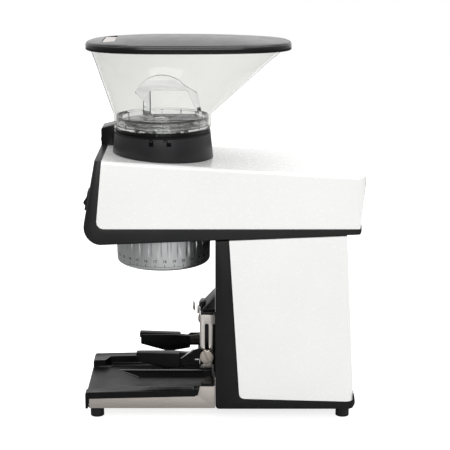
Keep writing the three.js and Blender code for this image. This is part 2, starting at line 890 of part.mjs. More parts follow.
function hopper() {
  const shoulder = hopperBottom + hopperBaseHeight;
  const bell = loft([
    ring(hopperBaseRadius, hopperBottom), hopperRing(shoulder, 0), hopperRing(hopperTop, 0),
  ]);
  const neck = disc(neckRadius, hopperBottom - neckDepth, hopperBottom + hopperFloor / 2);
  const hollow = loft([
    ring(hopperBaseRadius - hopperWall, hopperFloorTop), hopperRing(shoulder, hopperWall),
    hopperRing(hopperTop, hopperWall), hopperRing(hopperTop + overrun, hopperWall),
  ]);
  const bore = disc(neckRadius - hopperWall, hopperBottom - neckDepth - overrun, hopperBottom);
  return cut(join(bell, neck), hollow, bore, ...ports(hopperBottom - overrun, hopperFloorTop + overrun));
}

const shutterFloor = hopperFloorTop + fit;

function feedShutter() {
  const plate = disc(shutterRadius, shutterFloor, shutterFloor + shutterThick);
  const at = (x, tall, radius) => [x, shutterFloor + tall, radius];
  const domeCentre = handleTall - handleDomeRadius;
  const dome = around(smallSides, (index) => {
    const share = index / (smallSides - 1);
    const turn = Math.PI - radians(handleDomeStartAngle)
      - (Math.PI - radians(handleDomeStartAngle + handleDomeEndAngle)) * share;
    return at(handleDomeRadius * Math.cos(turn), domeCentre + handleDomeRadius * Math.sin(turn));
  });
  const grip = prismY(outline([
    at(handlePostX, shutterThick / 2), at(handlePostX, handleCurlStart, handleRound),
    at(handleCurlX, handleCurlStart + handleCurlRise, handleRound), ...dome,
    at(handleShoulderX, handleShoulderTall, handleRound), at(handleReach - fit, shutterThick / 2),
  ]), -handleThick / 2, handleThick / 2);
  const windowX = handlePostX + postWide;
  const window = prismY(outline([
    at(windowX, windowLow, handleRound), at(windowX, windowHigh, handleRound),
    at(windowTopX, windowHigh, handleRound), at(handleReach - legWide, windowLow, handleRound),
  ]), -handleThick, handleThick);
  return cut(join(cut(plate, ...ports(shutterFloor - overrun, shutterFloor + overrun)), grip), window);
}

const crownAt = (x) => {
  const reach = x < lidWidestX ? lidWidestX - lidFrontX : lidRearX - lidWidestX;
  return lidEdge + lidCrown * (1 - ((x - lidWidestX) / reach) ** 2);
};
const inlayFloor = crownAt(inlayFrontX) - inlayRecess;
const crownShares = [0.85, 0.55, 0.2];

function hopperLid() {
  const crowned = (drop, inset) => crownShares.map((share) =>
    egg(lidEdge - drop + lidCrown * (1 - share ** 2), inset, share));
  const shell = loft([
    egg(lidBottom, lidFoot), egg(lidBottom + lidFoot, 0), egg(lidEdge - lidShoulder, 0),
    egg(lidEdge, lidShoulder), ...crowned(0, 0),
  ]);
  const seat = loft([egg(lidBottom - overrun, lidWall), egg(hopperTop + fit, lidWall)]);
  const ledge = 3 * hopperWall;
  const hollow = loft([
    egg(lidBottom - overrun, ledge), egg(lidEdge - 2 * lidWall, ledge), crowned(2 * lidWall, ledge)[0],
  ]);
  const recess = prismZ(
    box(inlayFrontX, -inlayWide / 2, inlayFrontX + inlayLong, inlayWide / 2), inlayFloor,
    inlayFloor + overrun);
  return cut(shell, seat, hollow, recess);
}

const lidInlay = () => prismZ(
  box(inlayFrontX + fit, -inlayWide / 2 + fit, inlayFrontX + inlayLong - fit, inlayWide / 2 - fit),
  inlayFloor + fit, inlayFloor + fit + inlayThick);

// Beans fall through the throat into the burrs
function beanThroat() {
  const top = topHeight + throatWall;
  const low = caseTop + fit;
  const foot = low + caseLid + fit;
  return turned([
    [throatBottomRadius, low + fit], [throatBottomRadius + throatWall, low + fit],
    [throatBottomRadius + throatWall, foot], [burrHub, foot], [burrHub, foot + throatWall],
    [throatBottomRadius + 2 * throatWall, foot + throatWall],
    [throatTopRadius, top - throatWall], [neckRadius, top - throatWall], [neckRadius, top],
    [throatTopRadius - throatWall, top], [throatBottomRadius, foot],
  ], coarseSides);
}

// Involute gears, with the middle of a tooth at the given turn
function gearOutline(teeth, turn) {
  const pitch = pitchRadius(teeth);
  const base = pitch * Math.cos(radians(pressureAngle));
  const root = pitch - gearModule * dedendumShare;
  const tip = tipRadius(teeth);
  const involute = (radius) => {
    const slant = Math.acos(Math.min(1, base / radius));
    return Math.tan(slant) - slant;
  };
  const halfTooth = (radius) =>
    Math.PI / (2 * teeth) - backlash / (2 * pitch) + involute(pitch) - involute(Math.max(base, radius));
  const flank = teeth > straightFlankTeeth ? [root, tip] : [root, pitch, tip];
  const points = around(teeth, (index) => {
    const middle = turn + (2 * Math.PI * index) / teeth;
    const side = (radius, sign) => {
      const angle = middle + sign * halfTooth(radius);
      return new THREE.Vector2(radius * Math.cos(angle), radius * Math.sin(angle));
    };
    return [
      ...flank.map((radius) => side(radius, -1)), ...flank.toReversed().map((radius) => side(radius, 1)),
    ];
  });
  return new THREE.Shape(points.flat());
}

const gearTop = gearPlane + gearThick;
const gearBody = (teeth, turn) => prismZ(gearOutline(teeth, turn), gearPlane, gearTop);

function burrGear() {
  const low = burrLow - burrSkirt;
  const hub = disc(burrHub, low, gearTop - fit, coarseSides);
  const seat = disc(burrBore, burrLow, gearTop + overrun, coarseSides);
  const outlet = disc(burrBore - 2 * burrSkirt, low - overrun, burrLow + overrun, coarseSides);
  return cut(join(gearBody(burrTeeth, 0), hub), seat, outlet);
}

function idlerGear() {
  const web = (gearThick - idlerWeb) / 2;
  const pocket = (from, to) => tube(
    idlerHub, pitchRadius(idlerTeeth) - 3 * gearModule, from, to, coarseSides,
  );
  return cut(
    gearBody(idlerTeeth, Math.PI / idlerTeeth),
    pocket(gearPlane - overrun, gearPlane + web), pocket(gearTop - web, gearTop + overrun),
    disc(axleRadius + fit, gearPlane - overrun, gearTop + overrun, coarseSides),
  );
}

const pinion = () => cut(
  gearBody(pinionTeeth, 0), disc(shaftRadius + fit, gearPlane - overrun, gearTop + overrun, coarseSides));

const toothShares = [0.2, 0.6];

// Burr teeth: each stage of the profile is a ring of saw teeth, turned on from the stage below
function toothedRings(stages, teeth, sign) {
  return stages.map(([z, radius, depth]) => {
    const twist = sign * radians(burrTwistAngle) * ((z - stages[0][0]) / coneHeight);
    return around(teeth, (index) => {
      const place = (share, reach) => {
        const turn = twist + (2 * Math.PI * (index + share)) / teeth;
        return [reach * Math.cos(turn), reach * Math.sin(turn), z];
      };
      return [place(0, radius), place(toothShares[0], radius), place(toothShares[1], radius + depth)];
    }).flat();
  });
}
const stageShares = [0, 0.25, 0.6, 1];
const coneSlimShares = [0, 0.1, 0.5, 1];
const coneDepthShares = [0.025, 0.05, 0.12, 0.14];
const ringSlimShares = [0, 0.07, 0.2, 0.28];
const ringDepthShares = [0.025, 0.05, 0.1, 0.16];

const burrStages = (low, radius, slim, slimShares, depthShares, sign) => stageShares.map((share, index) => [
  low + share * coneHeight, radius - slimShares[index] * slim, sign * depthShares[index] * coneRadius]);

function coneBurr() {
  const slim = coneRadius - coneTopRadius;
  const cone = loft(toothedRings(
    burrStages(burrLow, coneRadius, slim, coneSlimShares, coneDepthShares, -1), coneTeeth, 1,
  ));
  return cut(cone, disc(spindleRadius + fit, burrLow - overrun, gearTop + overrun, smallSides));
}

function ringBurr() {
  const slim = coneRadius - coneTopRadius;
  const low = burrLow + fit;
  const stages = burrStages(low, coneRadius + burrGap, slim, ringSlimShares, ringDepthShares, 1);
  const [first, last] = [stages[0], stages[stages.length - 1]];
  const bore = loft(toothedRings(
    [
      [low - bite, first[1], first[2]], ...stages, [last[0] + bite, last[1], last[2]],
    ], coneTeeth, 1));
  return cut(disc(burrBore - fit, low, gearTop - fit, coarseSides), bore);
}

const burrBearing = () => tube(
  burrHub + runningGap, burrHub + runningGap + bearingWide, caseBottom - fit - bearingTall,
  caseBottom - fit, coarseSides);

// Gear case: a floor and a wall round the three gears, the keyed sleeve and four posts
const caseCircles = (border, from, to) => [
  [0, burrTeeth], [idlerX, idlerTeeth], [pinionX, pinionTeeth],
].map(
  ([x, teeth]) => disc(tipRadius(teeth) + tipClearance + border, from, to, coarseSides).translate(x, 0, 0));
const keySlots = (wide, inner, outer, from, to) => around(armCount, (index) =>
  prismZ(box(inner, -wide / 2, outer, wide / 2), from, to).rotateZ((2 * Math.PI * index) / armCount));

function gearCase() {
  const posts = around(postCount, (index) => {
    const turn = (Math.PI * (2 * index + 1)) / postCount;
    const ear = prismZ(
      box(burrHub + caseWall, -postRadius, postCircle, postRadius), caseBottom, caseBottom + caseFloor,
    );
    const post = disc(postRadius, 0, caseBottom + caseFloor, smallSides).translate(postCircle, 0, 0);
    return join(ear.rotateZ(turn), post.rotateZ(turn));
  });
  const long = 2 * postCircle;
  const seat = (x) => bellyAt(x) + frameWall / Math.cos(Math.atan(bellySlope)) + fit;
  const below = prismY(
    outline([[-long, seat(-long)], [-long, -overrun], [long, -overrun], [long, seat(long)]]), -long, long,
  );
  const sleeve = tube(
    sleeveRadius - sleeveWall, sleeveRadius, sleeveBottom, caseBottom + caseFloor / 2, coarseSides,
  );
  const slots = keySlots(
    keyWide + 2 * fit, sleeveRadius - 2 * sleeveWall, sleeveRadius + sleeveWall, sleeveBottom - overrun,
    keyTop + 3 * fit);
  return cut(
    join(...caseCircles(caseWall, caseBottom, caseTop), cut(join(...posts), below), sleeve),
    join(...caseCircles(0, caseBottom + caseFloor, caseTop + overrun)),
    disc(burrHub + runningGap, caseBottom - overrun, caseTop, coarseSides),
    disc(axleRadius + fit, caseBottom - overrun, caseTop, coarseSides).translate(idlerX, 0, 0),
    disc(shaftRadius + runningGap, caseBottom - overrun, caseTop, coarseSides).translate(pinionX, 0, 0),
    ...slots,
  );
}

function gearCaseLid() {
  const low = caseTop + fit;
  const hole = (radius, x) => disc(radius, low - overrun, low + overrun, coarseSides).translate(x, 0, 0);
  return cut(
    join(...caseCircles(caseWall, low, low + caseLid)),
    hole(burrHub - throatWall, 0), hole(axleRadius + fit, idlerX), hole(shaftRadius + runningGap, pinionX),
  );
}

const idlerAxle = () => disc(
  axleRadius, caseBottom, caseTop + fit + caseLid, coarseSides,
).translate(idlerX, 0, 0);

// Grind ring, its retainer and the keyed cone carrier that its thread lifts
const retainerTop = sleeveBottom - fit;
const ringInner = grindRingRadius - grindRingWall;
const rimRadius = ringInner - 3 * fit;
const rimLow = grindRingBottom + lipThick + 3 * fit;
const rimTop = rimLow + threadRimTall;
const keyTop = sleeveBottom + keyTall / 2;

function ringRetainer() {
  const slots = keySlots(
    keyWide + 2 * fit, sleeveRadius - 2 * sleeveWall, sleeveRadius + fit, retainerTop - overrun,
    retainerTop + overrun);
  const plate = tube(
    sleeveRadius - sleeveWall, rimRadius, retainerTop - lipThick, retainerTop, coarseSides,
  );
  return cut(plate, ...slots);
}

const landShares = [0.7, 0.76, 0.94];

function flutedOutline() {
  const pitch = (2 * Math.PI) / fluteCount;
  const points = around(fluteCount, (index) => [
    [0, grindRingRadius], [landShares[0], grindRingRadius],
    [landShares[1], grindRingRadius - fluteDepth], [landShares[2], grindRingRadius - fluteDepth],
  ].map(([share, radius]) => {
    const turn = pitch * (index + share) + radians(fluteTurnAngle);
    return new THREE.Vector2(radius * Math.cos(turn), radius * Math.sin(turn));
  }));
  return new THREE.Shape(points.flat());
}

function grindRing() {
  const low = grindRingBottom;
  const bandTop = low + grindRingBand;
  const foot = grindRingRadius - grindRingTaper;
  const corner = around(cornerSteps + 1, (index) => {
    const turn = (Math.PI / 2) * (index / cornerSteps);
    return [
      foot - grindRingRound * (1 - Math.sin(turn)), low + grindRingRound * (1 - Math.cos(turn))];
  });
  const band = turned([[0, low], ...corner, [grindRingRadius - fluteDepth / 2, bandTop], [0, bandTop]]);
  const fluted = prismZ(flutedOutline(), bandTop, grindRingTop);
  const lip = retainerTop + fit;
  return cut(
    join(band, fluted),
    disc(grindRingRadius - ringMouthBorder, low - overrun, low + overrun, coarseSides),
    disc(ringInner, low + lipThick, lip, coarseSides),
    disc(sleeveRadius + 2 * runningGap, low + lipThick, grindRingTop + overrun, coarseSides),
    disc(ringInner, lip + lipThick, grindRingTop + overrun, coarseSides),
  );
}

function coneCarrier() {
  const rim = tube(sleeveRadius - sleeveWall + fit, rimRadius, rimLow, rimTop, coarseSides);
  const arms = around(armCount, (index) => prismZ(
    box(0, -armWide / 2, sleeveRadius - fit, armWide / 2), rimLow + fit, rimLow + fit + armTall,
  ).rotateZ((2 * Math.PI * index) / armCount));
  const hub = turned([
    [0, rimLow + fit], [hubRadius, rimLow + fit], [hubRadius, burrLow - fit],
    [spindleRadius, burrLow - fit],
    [spindleRadius, gearTop + nutTall], [0, gearTop + nutTall],
  ], smallSides);
  const keys = common(
    join(...keySlots(keyWide, hubRadius, sleeveRadius + sleeveWall, rimTop - fit, keyTop)),
    tube(sleeveRadius - sleeveWall + fit, sleeveRadius - fit, rimTop - overrun, keyTop, coarseSides),
  );
  return join(rim, ...arms, hub, keys);
}

const coneNut = () => cut(
  disc(nutRadius, gearTop + fit, gearTop + nutTall, nutSides),
  disc(spindleRadius + fit, gearTop - overrun, gearTop + overrun, smallSides));

// Motor, standing in the column under the pinion
function motorBell() {
  return turned([
    [shaftRadius + runningGap, motorTop], [motorRadius, motorTop], [motorRadius, motorTop + bellPlate],
    [bellNeck + bellShoulder, motorTop + bellPlate + bellShoulder / 2],
    [bellNeck, motorTop + bellPlate + bellShoulder],
    [bellNeck, caseBottom - fit], [shaftRadius + runningGap, caseBottom - fit],
  ], coarseSides).translate(pinionX, 0, 0);
}

const canTop = motorTop - fit;
const canLow = motorTop - motorTall;

function motorCan() {
  return cut(
    disc(motorRadius, canLow, canTop, coarseSides),
    disc(motorRadius - motorWall, canLow + motorWall, canTop + overrun, coarseSides),
  );
}

function armature() {
  const middle = (canLow + canTop) / 2;
  const coreLow = middle - coreTall / 2;
  const slots = around(coreSlots, (index) => prismZ(
    box(coreRadius - slotDeep, -slotWide / 2, coreRadius + overrun, slotWide / 2), coreLow - overrun,
    coreLow + coreTall + overrun,
  ).rotateZ((2 * Math.PI * index) / coreSlots));
  const core = cut(disc(coreRadius, coreLow, coreLow + coreTall, 2 * coreSlots), ...slots);
  const commutatorLow = coreLow + coreTall + commutatorGap;
  return join(
    core,
    disc(shaftRadius, canLow + motorWall + fit, gearTop, coarseSides),
    disc(commutatorRadius, commutatorLow, commutatorLow + commutatorTall, coarseSides),
  );
}

function magnet(turn) {
  const outer = motorRadius - motorWall - 2 * runningGap;
  const spread = radians(magnetSpanAngle) / 2;
  const shape = new THREE.Shape();
  shape.absarc(0, 0, outer, turn - spread, turn + spread, false);
  shape.absarc(0, 0, outer - magnetThick, turn + spread, turn - spread, true);
  const low = (canLow + canTop - magnetTall) / 2;
  return prismZ(shape, low, low + magnetTall, smallSides).translate(pinionX, 0, 0);
}

// Control board on the column floor and the power inlet in its rear wall
function controlBoard() {
  const low = standHeight + frameWall + fit;
  const board = prismX(
    box(-boardWide / 2, low, boardWide / 2, low + boardTall), boardX, boardX + boardThick,
  );
  const corner = boardWide / 2 - transformerSize;
  const transformer = prismX(
    box(
      corner - transformerOffset, low + relaySize, corner - transformerOffset + transformerSize,
      low + relaySize + transformerSize,
    ),
    boardX - transformerSize, boardX + boardThick / 2);
  const relay = prismX(
    box(-corner - relaySize, low + relaySize, -corner, low + 2 * relaySize), boardX - relaySize,
    boardX + boardThick / 2);
  const capacitor = prismX(
    circle(0, low + boardTall / 2, capacitorRadius), boardX - capacitorTall, boardX + boardThick / 2,
    smallSides);
  return join(board, transformer, relay, capacitor);
}

function powerInlet() {
  const block = join(
    prismX(
      box(-inletWide / 2, -inletTall / 2, inletWide / 2, inletTall / 2), -inletDepth, fit + inletFlange,
    ),
    prismX(box(
      -inletWide / 2 - inletFlange, -inletTall / 2 - inletFlange, inletWide / 2 + inletFlange,
      inletTall / 2 + inletFlange,
      inletFlange,
    ), fit, fit + inletFlange),
  );
  const socket = prismX(box(
    -inletWide / 2 + inletWall, -inletTall / 2 + inletWall, inletWide / 2 - inletWall,
    inletTall / 2 - inletWall, inletWall,
  ), -inletDepth + inletWall, overrun);
  const blade = (y, z) => prismX(
    box(y - bladeWide / 2, z - bladeTall / 2, y + bladeWide / 2, z + bladeTall / 2),
    -inletDepth + inletWall / 2, -inletDepth + inletWall + bladeLong);
  return join(
    cut(block, socket), blade(-bladePitch, -bladeTall / 2), blade(bladePitch, -bladeTall / 2),
    blade(0, bladeTall / 2));
}

// Steel tray base and black drip tray
function trayBase() {
  const stepTop = standHeight + baseRearTall + baseStepRise;
  const side = prismY(outline([
    [baseFrontX, standHeight], [baseRearX, standHeight], [baseRearX, stepTop],
    [baseStepX, stepTop, baseSheet * 2], [baseStepX - baseStepRun / 2, baseTopAt(baseStepX), baseSheet * 2],
    [baseFrontX, apronHeight],
  ]), -half + baseInset, half - baseInset);
  const hollow = prismY(outline([
    [baseFrontX - overrun, standHeight + baseSheet], [baseRearX - baseSheet, standHeight + baseSheet],
    [baseRearX - baseSheet, stepTop + overrun], [baseFrontX - overrun, stepTop + overrun],
  ]), -half + baseInset + baseSheet, half - baseInset - baseSheet);
  return cut(side, hollow);
}

function dripTray() {
  const stepTop = standHeight + baseRearTall + baseStepRise + fit;
  const stepX = baseStepX - fit;
  const lowX = baseStepX - baseStepRun - fit;
  const rearTop = trayRimAt(stepX) + trayRearRise;
  const lip = [trayFrontX + trayLip, trayUnderAt(baseFrontX)];
  const rim = prismY(outline([
    [trayFrontX, trayRimAt(baseFrontX), trayRimRound], [trayFrontX, trayLipLow],
    [trayFrontX + trayLip, trayLipLow], lip, [lowX, trayUnderAt(stepX)],
    [stepX, stepTop], [trayRearX, stepTop], [trayRearX, rearTop],
    [baseStepX, rearTop, trayRimRound], [lowX - trayRimRound, trayRimAt(lowX), trayRimRound],
  ]), -half, half);
  const panHalf = half - baseInset - baseSheet - 2 * fit;
  const pan = prismY(outline([
    [trayFrontX + trayLip / 2, trayUnderAt(baseFrontX) - traySkin],
    [trayRearX, trayUnderAt(baseFrontX) - traySkin],
    [trayRearX, stepTop + traySkin], [trayFrontX + trayLip / 2, trayUnderAt(baseFrontX) + traySkin],
  ]), -panHalf, panHalf);
  const troughRearX = trayRearX - traySkin;
  const troughBlock = (skin) => {
    const [wide, deep] = [troughHalf + skin, troughDeep];
    const level = (z, ramp, side) => [
      [troughFrontX - skin + ramp, -wide + side, z], [troughRearX + skin, -wide + side, z],
      [troughRearX + skin, wide - side, z], [troughFrontX - skin + ramp, wide - side, z],
    ];
    const high = skin > 0 ? apronHeight - traySkin / 2 : apronHeight + traySkin;
    return loft([
      level(apronHeight - deep - skin, troughRamp, troughSide), level(apronHeight, 0, 0),
      level(Math.max(high, apronHeight), 0, 0),
    ]);
  };
  const innerHalf = half - trayRimWide;
  const open = prismZ(outline([
    [trayFrontX - overrun, -innerHalf], [troughRearX, -innerHalf], [troughRearX, innerHalf],
    [trayFrontX + trayLip + cornerBlockLong, innerHalf],
    [trayFrontX + trayLip + cornerBlockLong - cornerBlockEnd, innerHalf - cornerBlockWide],
    [trayFrontX - overrun, innerHalf - cornerBlockWide],
  ]), apronHeight, apronHeight + trayRimThick + overrun);
  const rearCut = (sign) => {
    const yAt = (y) => sign * y;
    return prismZ(outline([
      [trayFrontX - overrun, yAt(half + overrun)], [rearBlockX - rearBlockMitre, yAt(half + overrun)],
      [rearBlockX - trayRimRound, yAt(half + overrun)], [rearBlockX, yAt(half - baseInset)],
      [rearBlockX + rearBlockMitre, yAt(rearBlockInnerY)], [trayRearX + overrun, yAt(rearBlockInnerY)],
      [trayRearX + overrun, 0], [trayFrontX - overrun, 0],
    ]), trayRimAt(lowX) + trayRimRound / 2, rearTop + overrun);
  };
  const blocks = join(rim, pan, troughBlock(traySkin));
  const rearBlocks = [1, -1].map((sign) => prismZ(outline([
    [rearBlockX + rearBlockMitre, sign * rearBlockInnerY],
    [trayRearX, sign * rearBlockInnerY], [trayRearX, sign * panHalf], [rearBlockX, sign * panHalf],
  ]), apronHeight - traySkin / 2, rearTop));
  return join(cut(blocks, open, troughBlock(0), rearCut(1), rearCut(-1)), ...rearBlocks);
}

// Steel bracket on the column, with the hood, the clip and the bolt
function forkBracket() {
  const bend = bracketBend;
  const wall = prismZ(outline([
    [bracketFrontX, -bracketHalf, bend], [baseRearX, -bracketHalf], [baseRearX, bracketHalf],
    [bracketFrontX, bracketHalf, bend],
  ]), bracketBottom, bracketTop);
  const hollow = prismZ(outline([
    [bracketFrontX + bracketSheet, -bracketInner, bend - bracketSheet],
    [baseRearX - bracketSheet, -bracketInner],
    [baseRearX - bracketSheet, bracketInner],
    [bracketFrontX + bracketSheet, bracketInner, bend - bracketSheet],
  ]), bracketBottom - overrun, bracketTop + overrun);
  const back = prismZ(
    box(
      baseRearX - 2 * bracketSheet, -bracketInner + bracketFoot, baseRearX + overrun,
      bracketInner - bracketFoot,
    ),
    bracketBottom - overrun, bracketTop + overrun);
  const slot = prismY(
    box(
      slotX - slotWidth / 2, slotBottom, slotX + slotWidth / 2, slotTop, slotRound,
    ), -half, half);
  const notch = prismY(box(notchX, bracketBottom - overrun, baseRearX + overrun, notchTop), -half, half);
  return cut(wall, hollow, back, slot, notch);
}

// Block behind the bracket, between its two feet, that carries the hood
const bracketBlock = () => prismZ(box(
  bracketFrontX + bracketSheet + fit, -bracketInner + bracketFoot + fit, baseRearX,
  bracketInner - bracketFoot - fit,
), bracketBottom, bracketTop);

const pinHeight = bracketTop + fit + pinRadius;

function bracketHood() {
  const low = bracketTop + fit;
  const topOf = (x) =>
    low + hoodFrontTall + ((hoodRearTall - hoodFrontTall) * (x - hoodFrontX)) / (baseRearX - hoodFrontX);
  const side = (frontX, rearX, border) => outline([
    [frontX, low + border], [rearX, low + border], [rearX, topOf(rearX) - border],
    [frontX, topOf(frontX) - border],
  ]);
  const recess = (from, to) =>
    prismY(side(hoodFrontX + 3 * hoodBorder, baseRearX - hoodBorder / 2, hoodBorder), from, to);
  const seat = prismY(
    circle(hoodFrontX, pinHeight, pinRadius + fit), -pinHalf - fit, pinHalf + fit, smallSides);
  return cut(
    prismY(side(hoodFrontX, baseRearX, 0), -hoodHalf, hoodHalf),
    recess(-hoodHalf - overrun, -hoodHalf + hoodRecess),
    recess(hoodHalf - hoodRecess, hoodHalf + overrun), seat,
  );
}
const hoodPin = () => prismY(circle(hoodFrontX, pinHeight, pinRadius), -pinHalf, pinHalf, smallSides);

// A strip of sheet metal along a bent line
function ribbon(points, thick) {
  const sides = [1, -1].map((sign) => points.map(([x, z], index) => {
    const before = points[Math.max(0, index - 1)];
    const after = points[Math.min(points.length - 1, index + 1)];
    const along = new THREE.Vector2(after[0] - before[0], after[1] - before[1]).normalize();
    return [x - (sign * along.y * thick) / 2, z + (sign * along.x * thick) / 2];
  }));
  return outline([...sides[0], ...sides[1].toReversed()]);
}

function rimClip() {
  const legX = bracketFrontX - fit - clipSheet / 2;
  const throatX = legX - clipThroat;
  const mouthX = throatX - clipReach / 2;
  const lip = (sign) => [
    [legX, clipMiddle + (sign * clipThroat) / 2], [throatX, clipMiddle + sign * clipPinch],
    [mouthX, clipMiddle + (sign * clipMouth) / 2]];
  const leg = ribbon([[legX, clipMiddle - clipLeg / 2], [legX, clipMiddle + clipLeg / 2]], clipSheet);
  return join(
    prismY(leg, -clipHalf, clipHalf), prismY(ribbon(lip(1), clipSheet), -clipHalf, clipHalf),
    prismY(ribbon(lip(-1), clipSheet), -clipHalf, clipHalf));
}

function bracketBolt() {
  const face = bracketFrontX - fit;
  const dome = around(cornerSteps + 1, (index) => {
    const turn = (Math.PI / 2) * (index / cornerSteps);
    return [boltRadius * Math.sin(turn), boltProud * Math.cos(turn)];
  });
  return turned([...dome, [0, 0]], smallSides).rotateY(-Math.PI / 2).translate(face, 0, boltHeight);
}

// Fork: a folded steel carrier, two prongs and two thumb screws
const carrierInner = bracketHalf + runningGap;
const carrierOuter = carrierInner + carrierSheet;
const webRearX = bracketFrontX - runningGap;

function forkCarrier() {
  const tailX = slotX + carrierTail;
  const side = outline([
    [carrierFrontX, carrierLow], [carrierFrontX, carrierLow + carrierNoseTall],
    [carrierShoulderX, carrierLow + carrierShoulderTall, carrierSheet],
    [carrierPeakX, carrierTop, carrierSheet],
    [tailX, screwHeight + carrierTailHalf, carrierRound],
    [tailX, screwHeight - carrierTailHalf, carrierRound],
    [carrierHeelX, carrierLow],
  ]);
  const web = prismZ(
    box(webRearX - carrierSheet, -carrierOuter + fit, webRearX, carrierOuter - fit), carrierLow + fit,
    carrierLow + carrierWebTall);
  const holes = prismY(circle(slotX, screwHeight, screwShank + fit), -half, half, smallSides);
  return cut(
    join(web, prismY(side, -carrierOuter, -carrierInner), prismY(side, carrierInner, carrierOuter)), holes);
}

function prong(sign) {
  const across = (shape, from, to) => prismY(
    shape, Math.min(sign * from, sign * to), Math.max(sign * from, sign * to),
  );
  const middle = (prongInnerHalf + prongOuterHalf) / 2;
  const outer = across(outline([
    [prongTipX, prongTop - prongOuterTipTall, prongBevel],
    [prongDeepX, prongTop - prongOuterTall, prongBevel],
    [prongRearX, prongTop - prongOuterTall, prongBevel], [prongRearX, prongTop - prongBevel, prongBevel],
    [prongTipX, prongTop, prongBevel],
  ]), middle - prongBevel, prongOuterHalf);
  const inner = across(outline([
    [prongTipX + prongBevel, prongTop - prongInnerTipTall, prongBevel], [prongDeepX, prongLow, prongBevel],
    [prongShoulderX, prongLow + prongHeelRise, prongBevel], [prongShoulderX, prongShoulderTop],
    [prongTaperX, prongTop - prongBevel, prongBevel],
    [prongTipX + prongBevel, prongTop - prongBevel, prongBevel],
  ]), prongInnerHalf, middle);
  const neck = across(outline([
    [prongShoulderX - prongBevel, prongTop - neckDrop - neckTall],
    [webRearX, prongTop - neckDrop - neckTall],
    [webRearX, prongTop - neckDrop],
    [prongShoulderX - prongBevel, prongShoulderTop],
  ]), prongInnerHalf + prongBevel, carrierInner - fit);
  const wing = across(outline([
    [carrierFrontX - runningGap, carrierLow - overrun], [prongRearX + overrun, carrierLow - overrun],
    [prongRearX + overrun, carrierTop + overrun], [carrierFrontX - runningGap, carrierTop + overrun],
  ]), carrierInner - fit, half);
  return join(cut(outer, wing), inner, neck);
}

function thumbScrew(sign) {
  const face = carrierOuter + fit;
  const head = turned([
    [0, 0], [screwRadius - fit, 0], [screwRadius, fit], [screwRadius, screwThick - 2 * fit],
    [screwRadius - 2 * fit, screwThick], [0, screwThick],
  ], coarseSides);
  const shank = disc(screwShank, -(face - bracketInner) - screwReach, fit, smallSides);
  const slot = prismZ(
    box(-screwRadius - overrun, -screwSlot / 2, screwRadius + overrun, screwSlot / 2),
    screwThick - screwSlotDeep, screwThick + overrun).rotateZ(radians(sign * screwSlotAngle));
  return surface(cut(join(head, shank), slot)).rotateX((sign * Math.PI) / 2);
}

// Every piece is a mesh, placed by groups that stand where the real piece is fastened
const grinder = new THREE.Group();
const machine = new THREE.Group();
grinder.add(machine);

function add(name, shape, material, place = [0, 0, 0], lean = 0) {
  const geometry = shape.isBufferGeometry ? surface(solid(shape)) : surface(shape);
  const mesh = new THREE.Mesh(geometry, material);
  mesh.name = name;
  mesh.position.set(...place);
  mesh.rotation.y = lean;
  machine.add(mesh);
}

add("head_cover", headCover(), whiteGloss);
add("head_frame", headFrame(), blackPlastic);
add("column_cover", columnCover(), whiteGloss);
add("column_frame", columnFrame(), blackPlastic);

for (const [name, x, y] of [
  ["foot_front_right", frontFootX, -footY], ["foot_front_left", frontFootX, footY],
  ["foot_rear_right", rearFootX, -footY], ["foot_rear_left", rearFootX, footY],
]) add(name, foot(), rubber, [x, y, 0]);

const panel = [frontAt(rockerHeight), rockerY, rockerHeight];
add("switch_bezel", switchBezel(), blackPlastic, panel, Math.atan(frontLean));
add("power_rocker", rocker(), blackGloss, panel, Math.atan(frontLean));

add("control_pod", controlPod(), blackPlastic);
add("display_lens", displayLens(), blackGloss);
keyYs.forEach((y, index) => add(`pod_key_${index + 1}`, podKey(y), magnetGrey));

add("hopper_collar", hopperCollar(), blackPlastic);
add("lock_ring", lockRing(), blackGloss);
add("hopper", hopper(), clearPlastic);
add("feed_shutter", feedShutter(), clearPlastic);
add("hopper_lid", hopperLid(), blackPlastic);
add("lid_inlay", lidInlay(), steel);
add("bean_throat", beanThroat(), blackPlastic);

add("gear_case", gearCase(), castAlloy);
add("gear_case_lid", gearCaseLid(), castAlloy);
add("burr_bearing", burrBearing(), hardSteel);
add("burr_gear", burrGear(), acetal);
add("ring_burr", ringBurr(), hardSteel);
add("idler_gear", idlerGear(), acetal, [idlerX, 0, 0]);
add("idler_axle", idlerAxle(), hardSteel);
add("motor_pinion", pinion(), hardSteel, [pinionX, 0, 0]);

add("ring_retainer", ringRetainer(), steel);
add("grind_ring", grindRing(), ringAluminium);
add("cone_carrier", coneCarrier(), castAlloy);
add("cone_burr", coneBurr(), hardSteel);
add("cone_nut", coneNut(), steel);

add("motor_bell", motorBell(), castAlloy);
add("motor_can", motorCan(), steel, [pinionX, 0, 0]);
add("armature", armature(), magnetGrey, [pinionX, 0, 0]);
add("motor_magnet_right", magnet(-Math.PI / 2), magnetGrey);
add("motor_magnet_left", magnet(Math.PI / 2), magnetGrey);
add("control_board", controlBoard(), boardGreen);
add(
  "power_inlet", powerInlet(), blackPlastic, [columnRearAt(inletHeight), 0, inletHeight],
  -Math.atan(columnRearLean),
);

add("tray_base", trayBase(), steel);
add("drip_tray", dripTray(), blackPlastic);

